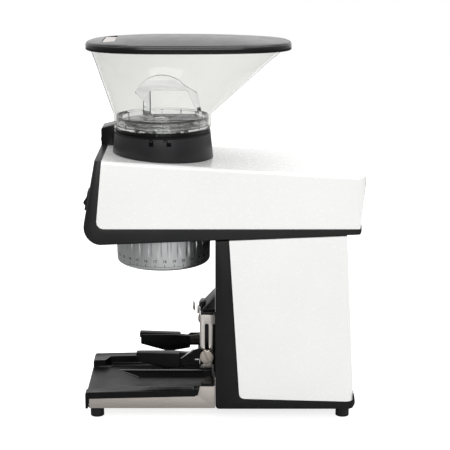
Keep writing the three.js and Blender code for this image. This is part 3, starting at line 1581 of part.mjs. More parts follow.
add("fork_bracket", forkBracket(), steel);
add("bracket_block", bracketBlock(), blackPlastic);
add("bracket_hood", bracketHood(), blackPlastic);
add("hood_pin", hoodPin(), blackPlastic);
add("rim_clip", rimClip(), steel);
add("bracket_bolt", bracketBolt(), steel);
add("fork_carrier", forkCarrier(), steel);
add("prong_right", prong(-1), blackPlastic);
add("prong_left", prong(1), blackPlastic);
add("thumb_screw_right", thumbScrew(1), steel, [slotX, -carrierOuter - fit, screwHeight]);
add("thumb_screw_left", thumbScrew(-1), steel, [slotX, carrierOuter + fit, screwHeight]);

// The origin lies on the table, under the middle of the whole machine
const bounds = new THREE.Box3().setFromObject(machine);
machine.position.x = -(bounds.min.x + bounds.max.x) / 2;

export default grinder;
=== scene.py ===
import json
import math
from collections import namedtuple

import bmesh
import bpy
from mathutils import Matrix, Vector

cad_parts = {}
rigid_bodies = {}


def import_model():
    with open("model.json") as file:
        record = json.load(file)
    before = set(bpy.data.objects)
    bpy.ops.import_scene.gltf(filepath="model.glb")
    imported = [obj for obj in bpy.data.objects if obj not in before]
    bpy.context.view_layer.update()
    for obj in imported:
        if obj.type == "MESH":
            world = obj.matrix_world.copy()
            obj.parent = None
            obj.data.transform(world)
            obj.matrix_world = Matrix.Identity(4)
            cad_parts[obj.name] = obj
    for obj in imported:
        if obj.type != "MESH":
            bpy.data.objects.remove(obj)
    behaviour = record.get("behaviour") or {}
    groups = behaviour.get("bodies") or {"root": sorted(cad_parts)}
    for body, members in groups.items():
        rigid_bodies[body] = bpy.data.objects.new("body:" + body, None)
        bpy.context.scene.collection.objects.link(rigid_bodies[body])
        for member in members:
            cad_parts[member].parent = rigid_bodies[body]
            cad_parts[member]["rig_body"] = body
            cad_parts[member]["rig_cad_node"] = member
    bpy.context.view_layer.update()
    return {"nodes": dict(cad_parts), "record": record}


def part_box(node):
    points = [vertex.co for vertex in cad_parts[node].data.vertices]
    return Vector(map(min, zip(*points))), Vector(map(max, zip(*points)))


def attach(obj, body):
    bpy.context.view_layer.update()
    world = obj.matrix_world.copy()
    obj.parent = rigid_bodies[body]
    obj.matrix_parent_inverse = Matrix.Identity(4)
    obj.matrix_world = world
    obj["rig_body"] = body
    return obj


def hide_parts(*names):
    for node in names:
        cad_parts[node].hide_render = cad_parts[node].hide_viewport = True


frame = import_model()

# Sizes are millimetres: x from the grinding axis, y from the middle and z from the table
nodes = frame["nodes"]
MM = 0.001
ring_low, ring_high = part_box("lock_ring")
AXIS_X = (ring_low.x + ring_high.x) / 2
Spot = namedtuple("Spot", "x y z")


def place(x, y, z):
    return Vector((AXIS_X + x * MM, y * MM, z * MM))


def limits(node):
    """The lowest and the highest corner of a solid's box, as drawn"""
    return [Spot(*(round(length / MM, 2) for length in (corner.x - AXIS_X, corner.y, corner.z)))
            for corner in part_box(node)]


# Camera, at the photograph's angle, in metres, millimetres of lens and degrees
CAMERA_PLACE = (-0.01233, -1.401, 0.5675)
CAMERA_PITCH = 14.17
CAMERA_LENS, CAMERA_SENSOR, CAMERA_SHIFT = 100.8, 36, 0.0289
view = bpy.data.cameras.new("photo_view")
view.sensor_width = CAMERA_SENSOR
view.lens = CAMERA_LENS
view.shift_x = CAMERA_SHIFT
camera = bpy.data.objects.new("photo_view", view)
camera.location = CAMERA_PLACE
camera.rotation_euler = (math.radians(90 - CAMERA_PITCH), 0, 0)
bpy.context.scene.collection.objects.link(camera)
bpy.context.scene.camera = camera
bpy.context.scene.view_settings.view_transform = "Standard"


# Finishes
def tone(red, green, blue):
    """A colour as the eye reads it, 0 to 255, made linear"""
    def linear(value):
        value /= 255
        return value / 12.92 if value <= 0.04045 else ((value + 0.055) / 1.055) ** 2.4
    return (linear(red), linear(green), linear(blue), 1)


def shader_of(material):
    return material.node_tree.nodes["Principled BSDF"]


def finish(name, colour, roughness, **sockets):
    material = bpy.data.materials.new(name)
    material.use_nodes = True
    shader = shader_of(material)
    shader.inputs["Base Color"].default_value = colour
    shader.inputs["Roughness"].default_value = roughness
    for socket, value in sockets.items():
        shader.inputs[socket.replace("_", " ")].default_value = value
    return material


def feed(tree, value, socket):
    """Another node's output or a plain value goes into the socket"""
    if isinstance(value, bpy.types.NodeSocket):
        tree.links.new(value, socket)
    else:
        socket.default_value = value


def reckoned(tree, operation, *values):
    node = tree.nodes.new("ShaderNodeMath")
    node.operation = operation
    for value, socket in zip(values, node.inputs):
        feed(tree, value, socket)
    return node.outputs["Value"]


def ranged(tree, source, from_low, from_high, to_low, to_high):
    """The source's range carried over to another range"""
    span = tree.nodes.new("ShaderNodeMapRange")
    span.inputs["From Min"].default_value = from_low
    span.inputs["From Max"].default_value = from_high
    span.inputs["To Min"].default_value = to_low
    span.inputs["To Max"].default_value = to_high
    tree.links.new(source, span.inputs["Value"])
    return span.outputs["Result"]


def blended(tree, share, first, second):
    """Two colours mixed, all second where the share is one"""
    mix = tree.nodes.new("ShaderNodeMix")
    mix.data_type = "RGBA"
    for socket, value in (("Factor", share), ("A", first), ("B", second)):
        feed(tree, value, mix.inputs[socket])
    return mix.outputs["Result"]


def grain(material, scale, detail, stretch=(1, 1, 1)):
    """Noise over the piece, drawn out along an axis by a small stretch"""
    tree = material.node_tree
    where = tree.nodes.new("ShaderNodeTexCoord")
    spread = tree.nodes.new("ShaderNodeMapping")
    spread.inputs["Scale"].default_value = stretch
    noise = tree.nodes.new("ShaderNodeTexNoise")
    noise.inputs["Scale"].default_value = scale
    noise.inputs["Detail"].default_value = detail
    tree.links.new(where.outputs["Object"], spread.inputs["Vector"])
    tree.links.new(spread.outputs["Vector"], noise.inputs["Vector"])
    return noise.outputs["Fac"]


def shade(material, source, dark, light, low=0.35, high=0.65):
    """Colour that wanders from dark to light with the grain"""
    tree = material.node_tree
    ramp = tree.nodes.new("ShaderNodeValToRGB")
    ramp.color_ramp.elements[0].position = low
    ramp.color_ramp.elements[0].color = dark
    ramp.color_ramp.elements[1].position = high
    ramp.color_ramp.elements[1].color = light
    tree.links.new(source, ramp.inputs["Fac"])
    tree.links.new(ramp.outputs["Color"], shader_of(material).inputs["Base Color"])


GRAIN_RANGE = (0.3, 0.7)


def polish(material, source, low, high):
    """Roughness that wanders between two values with the grain"""
    tree = material.node_tree
    tree.links.new(ranged(tree, source, *GRAIN_RANGE, low, high), shader_of(material).inputs["Roughness"])


def relief(material, source, height, strength=0.6):
    """Fine relief of the given height in metres"""
    tree = material.node_tree
    bump = tree.nodes.new("ShaderNodeBump")
    bump.inputs["Strength"].default_value = strength
    bump.inputs["Distance"].default_value = height
    tree.links.new(source, bump.inputs["Height"])
    tree.links.new(bump.outputs["Normal"], shader_of(material).inputs["Normal"])


PATCHES, POLISH_PATCHES = 18, 60


def moulded(name, colour, lighter, roughness, size=1400, height=0.00003, **sockets):
    """Moulded plastic: a fine spark-eroded grain over a slow change of tone"""
    material = finish(name, colour, roughness, **sockets)
    shade(material, grain(material, PATCHES, 2), colour, lighter)
    polish(material, grain(material, POLISH_PATCHES, 4), roughness * 0.85, roughness * 1.15)
    relief(material, grain(material, size, 2), height)
    return material


BRUSH_LINES, BRUSH_BANDS, BRUSH_STRETCH, BRUSH_DEPTH = 2600, 900, 0.02, 0.000008


def brushed(name, colour, darker, roughness, along, **sockets):
    """Sheet metal brushed along one axis"""
    stretch = [1.0, 1.0, 1.0]
    stretch["XYZ".index(along)] = BRUSH_STRETCH
    material = finish(name, colour, roughness, Metallic=1.0, **sockets)
    lines = grain(material, BRUSH_LINES, 4, stretch)
    shade(material, lines, darker, colour, 0.25, 0.75)
    polish(material, grain(material, BRUSH_BANDS, 3, stretch), roughness * 0.8, roughness * 1.25)
    relief(material, lines, BRUSH_DEPTH, 0.5)
    return material


white_paint = finish("white_paint", tone(240, 240, 239), 0.24, Coat_Weight=0.25, Coat_Roughness=0.08)
shade(white_paint, grain(white_paint, 9, 2), tone(239, 239, 238), tone(242, 242, 241))
polish(white_paint, grain(white_paint, 420, 2), 0.25, 0.28)
relief(white_paint, grain(white_paint, 650, 1), 0.00001, 0.5)

casing_black = moulded("casing_black", tone(22, 22, 23), tone(26, 26, 27), 0.36, Specular_IOR_Level=0.38)
column_black = moulded("column_black", tone(14, 14, 15), tone(18, 18, 19), 0.36, Specular_IOR_Level=0.25)
fork_black = moulded("fork_black", tone(4, 4, 5), tone(7, 7, 8), 0.34, 1100, 0.00002, Specular_IOR_Level=0.16)
tray_black = moulded("tray_black", tone(8, 8, 9), tone(11, 11, 12), 0.3, 1200, 0.00001,
                     Specular_IOR_Level=0.2)
# A darker, duller copy of the tray's black for the trough: painted shade in the recess
trough_painted_shade = moulded("trough_painted_shade", tone(3, 3, 4), tone(5, 5, 6), 0.35, 1200, 0.000004,
                       Specular_IOR_Level=0.05)
# A lighter, very glossy black for the lips along the tray's edges: painted highlight lines
lip_painted_highlight = moulded("lip_painted_highlight", tone(20, 20, 21), tone(24, 24, 25), 0.12, 1200, 0.000004,
                     Specular_IOR_Level=0.9)
collar_grey = moulded("collar_grey", tone(27, 27, 29), tone(31, 31, 33), 0.4, 1500, 0.00002,
                      Specular_IOR_Level=0.35)
gloss_black = moulded("gloss_black", tone(9, 9, 10), tone(12, 12, 13), 0.2, 500, 0.000004,
                      Specular_IOR_Level=0.3)
lid_black = moulded("lid_black", tone(17, 17, 18), tone(20, 20, 21), 0.24, 1600, 0.000001,
                    Specular_IOR_Level=0.85)
# The lid's black, darker and less glossy, for its band and sides: painted shade on faces that do not point up
band_painted_shade = moulded("band_painted_shade", tone(9, 9, 10), tone(11, 11, 12), 0.2, 1600, 0.000001,
                     Specular_IOR_Level=0.42)
foot_rubber = moulded("foot_rubber", tone(18, 18, 18), tone(26, 26, 26), 0.8, 700, 0.00008)
gear_plastic = moulded("gear_plastic", tone(224, 220, 206), tone(232, 229, 217), 0.45, 900, 0.00001)
key_grey = moulded("key_grey", tone(60, 60, 62), tone(68, 68, 70), 0.5, 900, 0.00002)
mark_dark = moulded("mark_dark", tone(34, 30, 28), tone(48, 44, 42), 0.55, 900, 0.00001,
                    Specular_IOR_Level=0.2)
icon_black = moulded("icon_black", tone(2, 2, 5), tone(5, 5, 8), 0.5, 900, 0.00001,
                     Specular_IOR_Level=0.05)

tray_steel = brushed("tray_steel", tone(226, 218, 211), tone(206, 198, 191), 0.34, "X")
bracket_steel = brushed("bracket_steel", tone(246, 240, 234), tone(226, 220, 213), 0.32, "Z")
ring_aluminium = brushed("ring_aluminium", tone(224, 226, 226), tone(210, 212, 213), 0.4, "Z")
turned_steel = brushed("turned_steel", tone(212, 202, 192), tone(186, 177, 168), 0.3, "Y")
bright_metal = brushed("bright_metal", tone(226, 224, 222), tone(180, 178, 176), 0.2, "Y")
clip_steel = brushed("clip_steel", tone(150, 148, 146), tone(96, 94, 92), 0.2, "Y")
neck_steel = brushed("neck_steel", tone(112, 110, 108), tone(84, 82, 80), 0.35, "X")
tool_steel = brushed("tool_steel", tone(150, 150, 152), tone(120, 120, 122), 0.35, "Z")
inlay_metal = brushed("inlay_metal", tone(226, 220, 216), tone(206, 198, 192), 0.26, "Y")

cast_metal = finish("cast_metal", tone(150, 151, 153), 0.55, Metallic=1.0)
shade(cast_metal, grain(cast_metal, 60, 5), tone(128, 129, 131), tone(160, 161, 163))
relief(cast_metal, grain(cast_metal, 1600, 3), 0.00006, 0.8)

magnet_dark = finish("magnet_dark", tone(52, 52, 55), 0.6, Metallic=0.3)
shade(magnet_dark, grain(magnet_dark, 500, 5), tone(42, 42, 45), tone(62, 62, 66))
relief(magnet_dark, grain(magnet_dark, 1300, 3), 0.00004, 0.7)

board_green = finish("board_green", tone(36, 96, 54), 0.4)
shade(board_green, grain(board_green, 240, 2, (1, 0.2, 0.2)), tone(28, 84, 46), tone(46, 112, 64), 0.48, 0.52)
relief(board_green, grain(board_green, 400, 2), 0.00004)

clear_plastic = finish("clear_plastic", tone(236, 236, 234), 0.02, Transmission_Weight=1.0, IOR=1.01,
                       Coat_Weight=0.7, Coat_Roughness=0.02)
polish(clear_plastic, grain(clear_plastic, 25, 4), 0.01, 0.04)
relief(clear_plastic, grain(clear_plastic, 30, 2), 0.00002, 0.3)

shutter_clear = finish("shutter_clear", tone(244, 245, 246), 0.02, Transmission_Weight=1.0, IOR=1.49)
polish(shutter_clear, grain(shutter_clear, 40, 4), 0.01, 0.05)
relief(shutter_clear, grain(shutter_clear, 60, 2), 0.00003, 0.3)

# Dark, partly clear strips for the shutter's handle: painted shade for the dark refraction along its edges
shutter_refraction_shade = finish("shutter_refraction_shade", tone(40, 42, 45), 0.05, Transmission_Weight=0.6, IOR=1.2)
polish(shutter_refraction_shade, grain(shutter_refraction_shade, 500, 2), 0.03, 0.08)

display_glass = finish("display_glass", tone(10, 12, 14), 0.08, Coat_Weight=1.0, Coat_Roughness=0.03)
shade(display_glass, grain(display_glass, 120, 2), tone(8, 10, 12), tone(14, 17, 20))
polish(display_glass, grain(display_glass, 200, 4), 0.06, 0.12)


# Modelling tools
WELD_WITHIN, SAME_SPOT = 0.002, 0.001
DRAFT_RADIUS = 50


def deselect():
    if bpy.context.object and bpy.context.object.mode != "OBJECT":
        bpy.ops.object.mode_set(mode="OBJECT")
    bpy.ops.object.select_all(action="DESELECT")


def take(piece):
    deselect()
    piece.select_set(True)
    bpy.context.view_layer.objects.active = piece


def named(name):
    piece = bpy.context.object
    piece.name = name
    piece.data.name = name
    return piece


def settle(piece):
    """Place, turn and size go into the mesh, and the faces point outwards"""
    take(piece)
    bpy.ops.object.transform_apply(location=True, rotation=True, scale=True)
    bpy.ops.object.mode_set(mode="EDIT")
    bpy.ops.mesh.select_all(action="SELECT")
    bpy.ops.mesh.remove_doubles(threshold=WELD_WITHIN * MM)
    bpy.ops.mesh.normals_make_consistent(inside=False)
    bpy.ops.object.mode_set(mode="OBJECT")


def apply_modifier(piece, kind, **settings):
    take(piece)
    modifier = piece.modifiers.new(kind.lower(), kind)
    for setting, value in settings.items():
        setattr(modifier, setting, value)
    bpy.ops.object.modifier_apply(modifier=modifier.name)


def soften(piece, angle=35):
    take(piece)
    bpy.ops.object.shade_smooth_by_angle(angle=math.radians(angle))


def round_edges(piece, width, angle=30, segments=2):
    apply_modifier(piece, "BEVEL", width=width * MM, segments=segments, limit_method="ANGLE",
                   angle_limit=math.radians(angle), harden_normals=False)


def fit_out(piece, material, body, slot, *replaced):
    """Material, body, record slot, which is not used, and the solids that the piece stands for"""
    piece.data.materials.clear()
    piece.data.materials.append(material)
    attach(piece, body)
    if replaced:
        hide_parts(*replaced)
    return piece


def lay(piece, ring, centre):
    """Moves the picked ring of corners to its points, matched by their angle about the centre"""
    mesh = bmesh.from_edit_mesh(piece.data)
    middle = place(*centre, 0)

    def angle(spot):
        return math.atan2(spot.y - middle.y, spot.x - middle.x)
    picked = sorted((corner for corner in mesh.verts if corner.select),
                    key=lambda corner: angle(corner.co + piece.location))
    for corner, spot in zip(picked, sorted((place(*point) for point in ring), key=angle)):
        corner.co = spot - piece.location
    bmesh.update_edit_mesh(piece.data)


def drawn(name, rings, centre=(0, 0), closing="ends"):
    """A circle drawn from ring to ring, with flat ends or joined back to its start"""
    deselect()
    bpy.ops.mesh.primitive_circle_add(vertices=len(rings[0]), radius=DRAFT_RADIUS * MM,
                                      location=place(*centre, rings[0][0][2]))
    piece = named(name)
    bpy.ops.object.mode_set(mode="EDIT")
    bpy.ops.mesh.select_all(action="SELECT")
    lay(piece, rings[0], centre)
    if closing == "ends":
        bpy.ops.mesh.edge_face_add()
    for ring in rings[1:]:
        bpy.ops.mesh.extrude_region_move()
        lay(piece, ring, centre)
    if closing == "loop":
        bpy.ops.mesh.select_all(action="DESELECT")
        bpy.ops.mesh.select_non_manifold(extend=False)
        bpy.ops.mesh.bridge_edge_loops()
    bpy.ops.object.mode_set(mode="OBJECT")
    settle(piece)
    return piece


def round_ring(radius, height, sides):
    turns = [math.tau * (side + 0.5) / sides for side in range(sides)]
    return [(radius * math.cos(turn), radius * math.sin(turn), height) for turn in turns]


def turned(name, profile, sides=128):
    """A ring turned on the grinding axis along a closed profile of [radius, height] pairs"""
    return drawn(name, [round_ring(radius, height, sides) for radius, height in profile], closing="loop")


def bent_strip(name, path, near, far, thick):
    """Sheet metal bent along [x, z] points, from near to far across the machine"""
    deselect()
    bpy.ops.mesh.primitive_plane_add(size=1, location=place(path[0][0], 0, path[0][1]))
    piece = named(name)
    bpy.ops.object.mode_set(mode="EDIT")
    mesh = bmesh.from_edit_mesh(piece.data)
    for corner in mesh.verts:
        x, z = path[1] if corner.co.x > 0 else path[0]
        corner.co = place(x, far if corner.co.y > 0 else near, z) - piece.location
    end = place(path[1][0], 0, path[1][1]) - piece.location
    for edge in mesh.edges:
        edge.select = all((corner.co.xz - end.xz).length < SAME_SPOT * MM for corner in edge.verts)
    mesh.select_flush_mode()
    bmesh.update_edit_mesh(piece.data)
    bpy.ops.mesh.select_mode(type="EDGE")
    for (x0, z0), (x1, z1) in zip(path[1:], path[2:]):
        bpy.ops.mesh.extrude_region_move(
            TRANSFORM_OT_translate={"value": ((x1 - x0) * MM, 0, (z1 - z0) * MM)})
    bpy.ops.mesh.select_mode(type="VERT")
    bpy.ops.object.mode_set(mode="OBJECT")
    settle(piece)
    apply_modifier(piece, "SOLIDIFY", thickness=thick * MM, offset=0.0, use_even_offset=True)
    return piece


def wrapped(piece, turn, height, radius_at, proud):
    """A flat mark in millimetres laid round the machine's axis, its turn counted from the near side"""
    for corner in piece.data.vertices:
        across, up, out = corner.co
        level = height + up
        reach = radius_at(level) + proud * (1 if out > 0 else -1)
        angle = math.radians(turn) + across / radius_at(level)
        corner.co = place(reach * math.sin(angle), -reach * math.cos(angle), level)
    piece.data.update()
    return piece


def flat_bar(name, across, up, cells):
    """A thin bar from a cube, divided so that it can follow a round surface, in millimetres"""
    deselect()
    bpy.ops.mesh.primitive_cube_add(size=1, location=((across[0] + across[1]) / 2, (up[0] + up[1]) / 2, 0))
    piece = named(name)
    piece.scale = (across[1] - across[0], up[1] - up[0], 1)
    bpy.ops.object.transform_apply(location=True, rotation=True, scale=True)
    if cells:
        bpy.ops.object.mode_set(mode="EDIT")
        for cell in range(1, cells):
            bpy.ops.mesh.select_all(action="SELECT")
            x = across[0] + (across[1] - across[0]) * cell / cells
            bpy.ops.mesh.bisect(plane_co=(x, 0, 0), plane_no=(1, 0, 0))
        bpy.ops.object.mode_set(mode="OBJECT")
    return piece


def centred_bar(name, wide, tall):
    return flat_bar(name, (-wide / 2, wide / 2), (-tall / 2, tall / 2), 0)


def block(name, centre, size):
    """A box by its centre and its three sizes"""
    deselect()
    bpy.ops.mesh.primitive_cube_add(size=1, location=place(*centre))
    piece = named(name)
    piece.scale = [length * MM for length in size]
    settle(piece)
    return piece


def bar(name, start, end, wide, high):
    """A straight bar from one [x, y, z] point to another"""
    deselect()
    head, tail = place(*start), place(*end)
    bpy.ops.mesh.primitive_cube_add(size=1, location=(head + tail) / 2)
    piece = named(name)
    piece.scale = ((tail - head).length, wide * MM, high * MM)
    piece.rotation_euler = (tail - head).to_track_quat("X", "Z").to_euler()
    settle(piece)
    return piece


def cut_off(piece, cutter):
    apply_modifier(piece, "BOOLEAN", object=cutter, operation="DIFFERENCE", solver="EXACT")
    bpy.data.objects.remove(cutter)


def joined(pieces, name):
    deselect()
    for piece in pieces:
        piece.select_set(True)
    bpy.context.view_layer.objects.active = pieces[0]
    bpy.ops.object.join()
    return named(name)


CAPITAL_SHARE = 0.72
STROKE_GROWTH, NUMERAL_DEPTH = 0.07, 0.5


def numeral(number, tall, turn, height, radius_at, proud):
    """A number of the scale, laid round the ring, its letters' height a share of the type's size"""
    deselect()
    bpy.ops.object.text_add(location=(0, 0, 0))
    words = bpy.context.object
    words.data.body = str(number)
    words.data.size = tall / CAPITAL_SHARE
    words.data.align_x = "CENTER"
    words.data.align_y = "CENTER"
    words.data.extrude = NUMERAL_DEPTH
    words.data.offset = STROKE_GROWTH
    words.data.resolution_u = 3
    bpy.ops.object.convert(target="MESH")
    return wrapped(bpy.context.object, turn, height, radius_at, proud)


# In a worked copy near corners become one, and faces that meet nearly flat are joined
MERGE_WITHIN, FLAT_WITHIN, COPY_EDGE_ANGLE, NORMAL_WEIGHT = 0.02, 1.5, 28, 90


def worked_copy(node, name, width, segments=2):
    """The solid's own form with its flats joined and its sharp edges rounded"""
    piece = nodes[node].copy()
    piece.data = nodes[node].data.copy()
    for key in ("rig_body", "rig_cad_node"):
        if key in piece:
            del piece[key]
    piece.parent = None
    piece.name = name
    piece.data.name = name
    bpy.context.scene.collection.objects.link(piece)
    take(piece)
    bpy.ops.object.mode_set(mode="EDIT")
    bpy.ops.mesh.select_all(action="SELECT")
    bpy.ops.mesh.remove_doubles(threshold=MERGE_WITHIN * MM)
    bpy.ops.mesh.dissolve_limited(angle_limit=math.radians(FLAT_WITHIN))
    bpy.ops.object.mode_set(mode="OBJECT")
    if width:
        round_edges(piece, width, COPY_EDGE_ANGLE, segments)
    soften(piece)
    if not width:
        apply_modifier(piece, "WEIGHTED_NORMAL", keep_sharp=True, weight=NORMAL_WEIGHT)
    return piece


body_of = {node: body for body, members in frame["record"]["behaviour"]["bodies"].items() for node in members}
slot_of = {row["node"]: row["material_slot"] for row in frame["record"]["subparts"]}


def finished(piece, width, material, node, *replaced):
    """A new piece with its edges rounded, in the body of a solid"""
    if width:
        round_edges(piece, width)
    soften(piece)
    return fit_out(piece, material, body_of[node], slot_of[node], *replaced)


def rounded(node, width, material, segments=2):
    piece = worked_copy(node, f"{node}_worked", width, segments)
    return fit_out(piece, material, body_of[node], slot_of[node], node)


def dress(node, material):
    nodes[node].data.materials.clear()
    nodes[node].data.materials.append(material)


# Casings: width of the rounded edges, material and pieces
CASINGS = [
    (0, white_paint, ("head_cover", "column_cover")),
    (0.6, casing_black, ("head_frame",)),
    (0.6, column_black, ("column_frame",)),
    (0.3, casing_black, ("switch_bezel", "bracket_hood", "bracket_block", "power_inlet")),
    (0.3, gloss_black, ("power_rocker",)),
    (0.5, gloss_black, ("control_pod",)),
    (0.2, display_glass, ("display_lens",)),
    (0.3, key_grey, ("pod_key_1", "pod_key_2", "pod_key_3")),
    (0.6, foot_rubber, ("foot_front_right", "foot_front_left", "foot_rear_right", "foot_rear_left"))]
for width, material, members in CASINGS:
    for node in members:
        rounded(node, width, material)

# Collar: a cone with the two padlock signs and a step at its top
COLLAR_TOP, COLLAR_TOP_RADIUS = limits("hopper_collar")[1].z, 53.9
COLLAR_WIDENS, COLLAR_WIDENS_OVER = 2.8, 27.6
SIGN_LEVEL, SIGN_WIDE, SIGN_PROUD = COLLAR_TOP - 6.2, 5.0, 0.06
SIGN_BODY_CELLS, BOW_LINKS = 6, 8
LEG_HALF, BOW_LINK_SHARE, BOW_RISE = 0.55, 0.24, 0.9
STEP_PROFILE = [(53.2, -2.4), (54.25, -2.4), (54.05, -0.1), (53.2, 0.15)]
rounded("hopper_collar", 0.4, collar_grey)


def collar_radius(height):
    return COLLAR_TOP_RADIUS + COLLAR_WIDENS * (COLLAR_TOP - height) / COLLAR_WIDENS_OVER


def padlock(name, turn, tall, body_share, bow, slide):
    """A padlock sign: a body with a bow over it, closed or swung to one side"""
    low = -tall / 2
    body_top = low + tall * body_share
    middle = body_top + (tall - tall * body_share - bow) * BOW_RISE
    parts = [flat_bar("body", (-SIGN_WIDE / 2, SIGN_WIDE / 2), (low, body_top), SIGN_BODY_CELLS)]
    for number in range(BOW_LINKS):
        angle = math.pi * (number + 0.5) / BOW_LINKS
        link = centred_bar("bow", 2 * bow * BOW_LINK_SHARE, 2 * LEG_HALF)
        for corner in link.data.vertices:
            x, y = corner.co.x, corner.co.y
            corner.co.x = slide + (bow + y) * math.cos(angle) - x * math.sin(angle)
            corner.co.y = middle + (bow + y) * math.sin(angle) + x * math.cos(angle)
        parts.append(link)
    for sign in (-1, 1):
        ends_free = slide < 0 and sign < 0
        foot = middle - bow / 2 if ends_free else body_top
        leg = slide + sign * bow
        parts.append(flat_bar("leg", (leg - LEG_HALF, leg + LEG_HALF), (foot, middle), 0))
    sign_mark = joined([wrapped(part, turn, SIGN_LEVEL, collar_radius, SIGN_PROUD) for part in parts], name)
    fit_out(sign_mark, icon_black, body_of["hopper_collar"], slot_of["hopper_collar"])


padlock("locked_sign", -11.1, 7.2, 0.6, 1.5, 0.0)
padlock("unlocked_sign", 9.2, 7.4, 0.56, 1.75, -3.6)
step_profile = [(radius, COLLAR_TOP + rise) for radius, rise in STEP_PROFILE]
finished(turned("collar_step", step_profile), 0, gloss_black, "hopper_collar")

# Lock ring and its pointer
lock_low, lock_high = limits("lock_ring")
POINTER_TURN, POINTER_LEVEL, POINTER_PROUD = -4.4, lock_low.z + 1.7, 0.05
pointer = centred_bar("lock_pointer", 1.0, 2.0)
wrapped(pointer, POINTER_TURN, POINTER_LEVEL, lambda height: lock_high.x, POINTER_PROUD)
fit_out(pointer, key_grey, body_of["lock_ring"], slot_of["lock_ring"])
rounded("lock_ring", 0.4, gloss_black)

# Hopper: in its base a ribbed seat for the shutter and a floor disc
SHUTTER_LOW = limits("feed_shutter")[0].z
SEAT_PROFILE = [(47.3, 0.2), (47.3, 2.2), (48.4, 2.6), (48.4, 6.6), (49.2, 7.4), (50.4, 7.4), (51.6, 9.4),
                (51.9, 9.4), (51.9, 0.2)]
DISC_PROFILE = [(14, -3.1), (51.8, -3.1), (51.8, -0.5), (46.8, -0.5), (46.2, -1.4), (42, -1.4), (41.4, -0.5),
                (14, -0.5)]
RIBS, FIRST_RIB = 14, 0.4
RIB_RADIUS, RIB_RISE, RIB_SIZE = 50.4, 2.6, (2.6, 1.7, 9.6)
CLEAR_SIDES = 144
rounded("hopper", 0.4, clear_plastic)


def from_shutter(profile):
    return [(radius, SHUTTER_LOW + rise) for radius, rise in profile]


def seat_rib(number):
    rib = block("rib", (RIB_RADIUS, 0, SHUTTER_LOW + RIB_RISE), RIB_SIZE)
    bpy.ops.object.mode_set(mode="EDIT")
    bpy.ops.transform.rotate(value=math.tau * (number + FIRST_RIB) / RIBS, orient_axis="Z",
                             center_override=place(0, 0, 0))
    bpy.ops.object.mode_set(mode="OBJECT")
    return rib


seat = turned("shutter_seat", from_shutter(SEAT_PROFILE), CLEAR_SIDES)
ribs = joined([seat_rib(number) for number in range(RIBS)], "seat_ribs")
disc = turned("hopper_floor_disc", from_shutter(DISC_PROFILE), CLEAR_SIDES)
for piece, width in ((seat, 0.25), (ribs, 0.4), (disc, 0.25)):
    finished(piece, width, shutter_clear, "hopper")

# Shutter: dark strips along both edges of its bent handle, painted shade in place of the dark refraction at
# its edges, as [thickness, [x, z] points]
GRIP_EDGE_AT, GRIP_EDGE_WIDE = 3.6, 0.7
GRIP_PATHS = [
    (0.8, [(-29.0, 365.6), (-29.6, 367.4), (-28.4, 369.6), (-24.3, 375.2), (-19.1, 379.9), (-13.0, 383.3),
           (-6.3, 385.4), (0.6, 386.0), (7.6, 385.1), (14.1, 382.8), (20.1, 379.1), (25.1, 374.3),
           (38.6, 366.3), (39.6, 364.6), (46.2, 343.0)]),
    (1.2, [(-13.5, 366.5), (-13.2, 367.7), (-12.3, 368.7), (-11.0, 369.0), (26.4, 369.0), (28.1, 368.3),
           (29.0, 367.2), (37.6, 344.5)]),
    (0.7, [(-13.5, 343.0), (-13.5, 366.5)]),
    (0.7, [(-21.0, 343.0), (-21.0, 356.9), (-21.8, 358.7), (-29.0, 365.6)])]
rounded("feed_shutter", 0.8, shutter_clear)
shade_strips = [bent_strip("grip_shade_strip", path, side * GRIP_EDGE_AT - GRIP_EDGE_WIDE / 2,
                       side * GRIP_EDGE_AT + GRIP_EDGE_WIDE / 2, thick)
            for thick, path in GRIP_PATHS for side in (-1, 1)]
finished(joined(shade_strips, "grip_refraction_shade"), 0, shutter_refraction_shade, "feed_shutter")

# Lid: squarer at its ends than the hopper, with a groove over its band
lid_low, lid_high = limits("hopper_lid")
LID_WIDEST, LID_EDGE, LID_CROWN = 8.6, lid_low.z + 8, 6.0
LID_TOP = lid_high.z - 0.01
FRONT_POWER, REAR_POWER, LID_SIDES = 2 / 2.6, 2 / 3.0, 192
LID_SMOOTH, FACES_UP = 30, 0.9
LID_PROFILE = [
    (5.3, 7.5, 0.85), (3.6, 7.5, 1), (2.8, 7.5, 1), (2.8, 2.2, 1), (0, 2.2, 1), (0, 0.9, 1), (0.3, 0.35, 1),
    (0.9, 0.05, 1), (2.4, 0, 1), (4.6, 0, 1), (6.0, 0.15, 1), (6.8, 0.6, 1), (7.1, 1.2, 1), (6.4, 1.7, 1),
    (6.4, 2.3, 1), (7.5, 2.6, 1), (8.1, 3.4, 1)]
CROWN_SHARES = (0.94, 0.88, 0.8, 0.7, 0.58, 0.45, 0.32, 0.2, 0.08)
inlay_low, inlay_high = limits("lid_inlay")
RECESS_X, RECESS_FLOOR = (inlay_low.x + inlay_high.x) / 2, lid_low.z + 8.4
RECESS_LONG, RECESS_WIDE, RECESS_CUT = 14, 64, 20
INLAY_ASIDE, INLAY_RISE = -4.7, 0.3
INLAY_LONG, INLAY_WIDE, INLAY_TALL = 12.6, 54, 1.3


def lid_ring(height, inset, share):
    ring = []
    for side in range(LID_SIDES):
        turn = math.tau * (side + 0.5) / LID_SIDES
        u, v = math.cos(turn), math.sin(turn)
        power = FRONT_POWER if u < 0 else REAR_POWER
        reach = LID_WIDEST - lid_low.x if u < 0 else lid_high.x - LID_WIDEST
        x = math.copysign(abs(u) ** power, u) * (reach - inset) * share
        y = math.copysign(abs(v) ** power, v) * (lid_high.y - inset) * share
        ring.append((LID_WIDEST + x, y, height))
    return ring


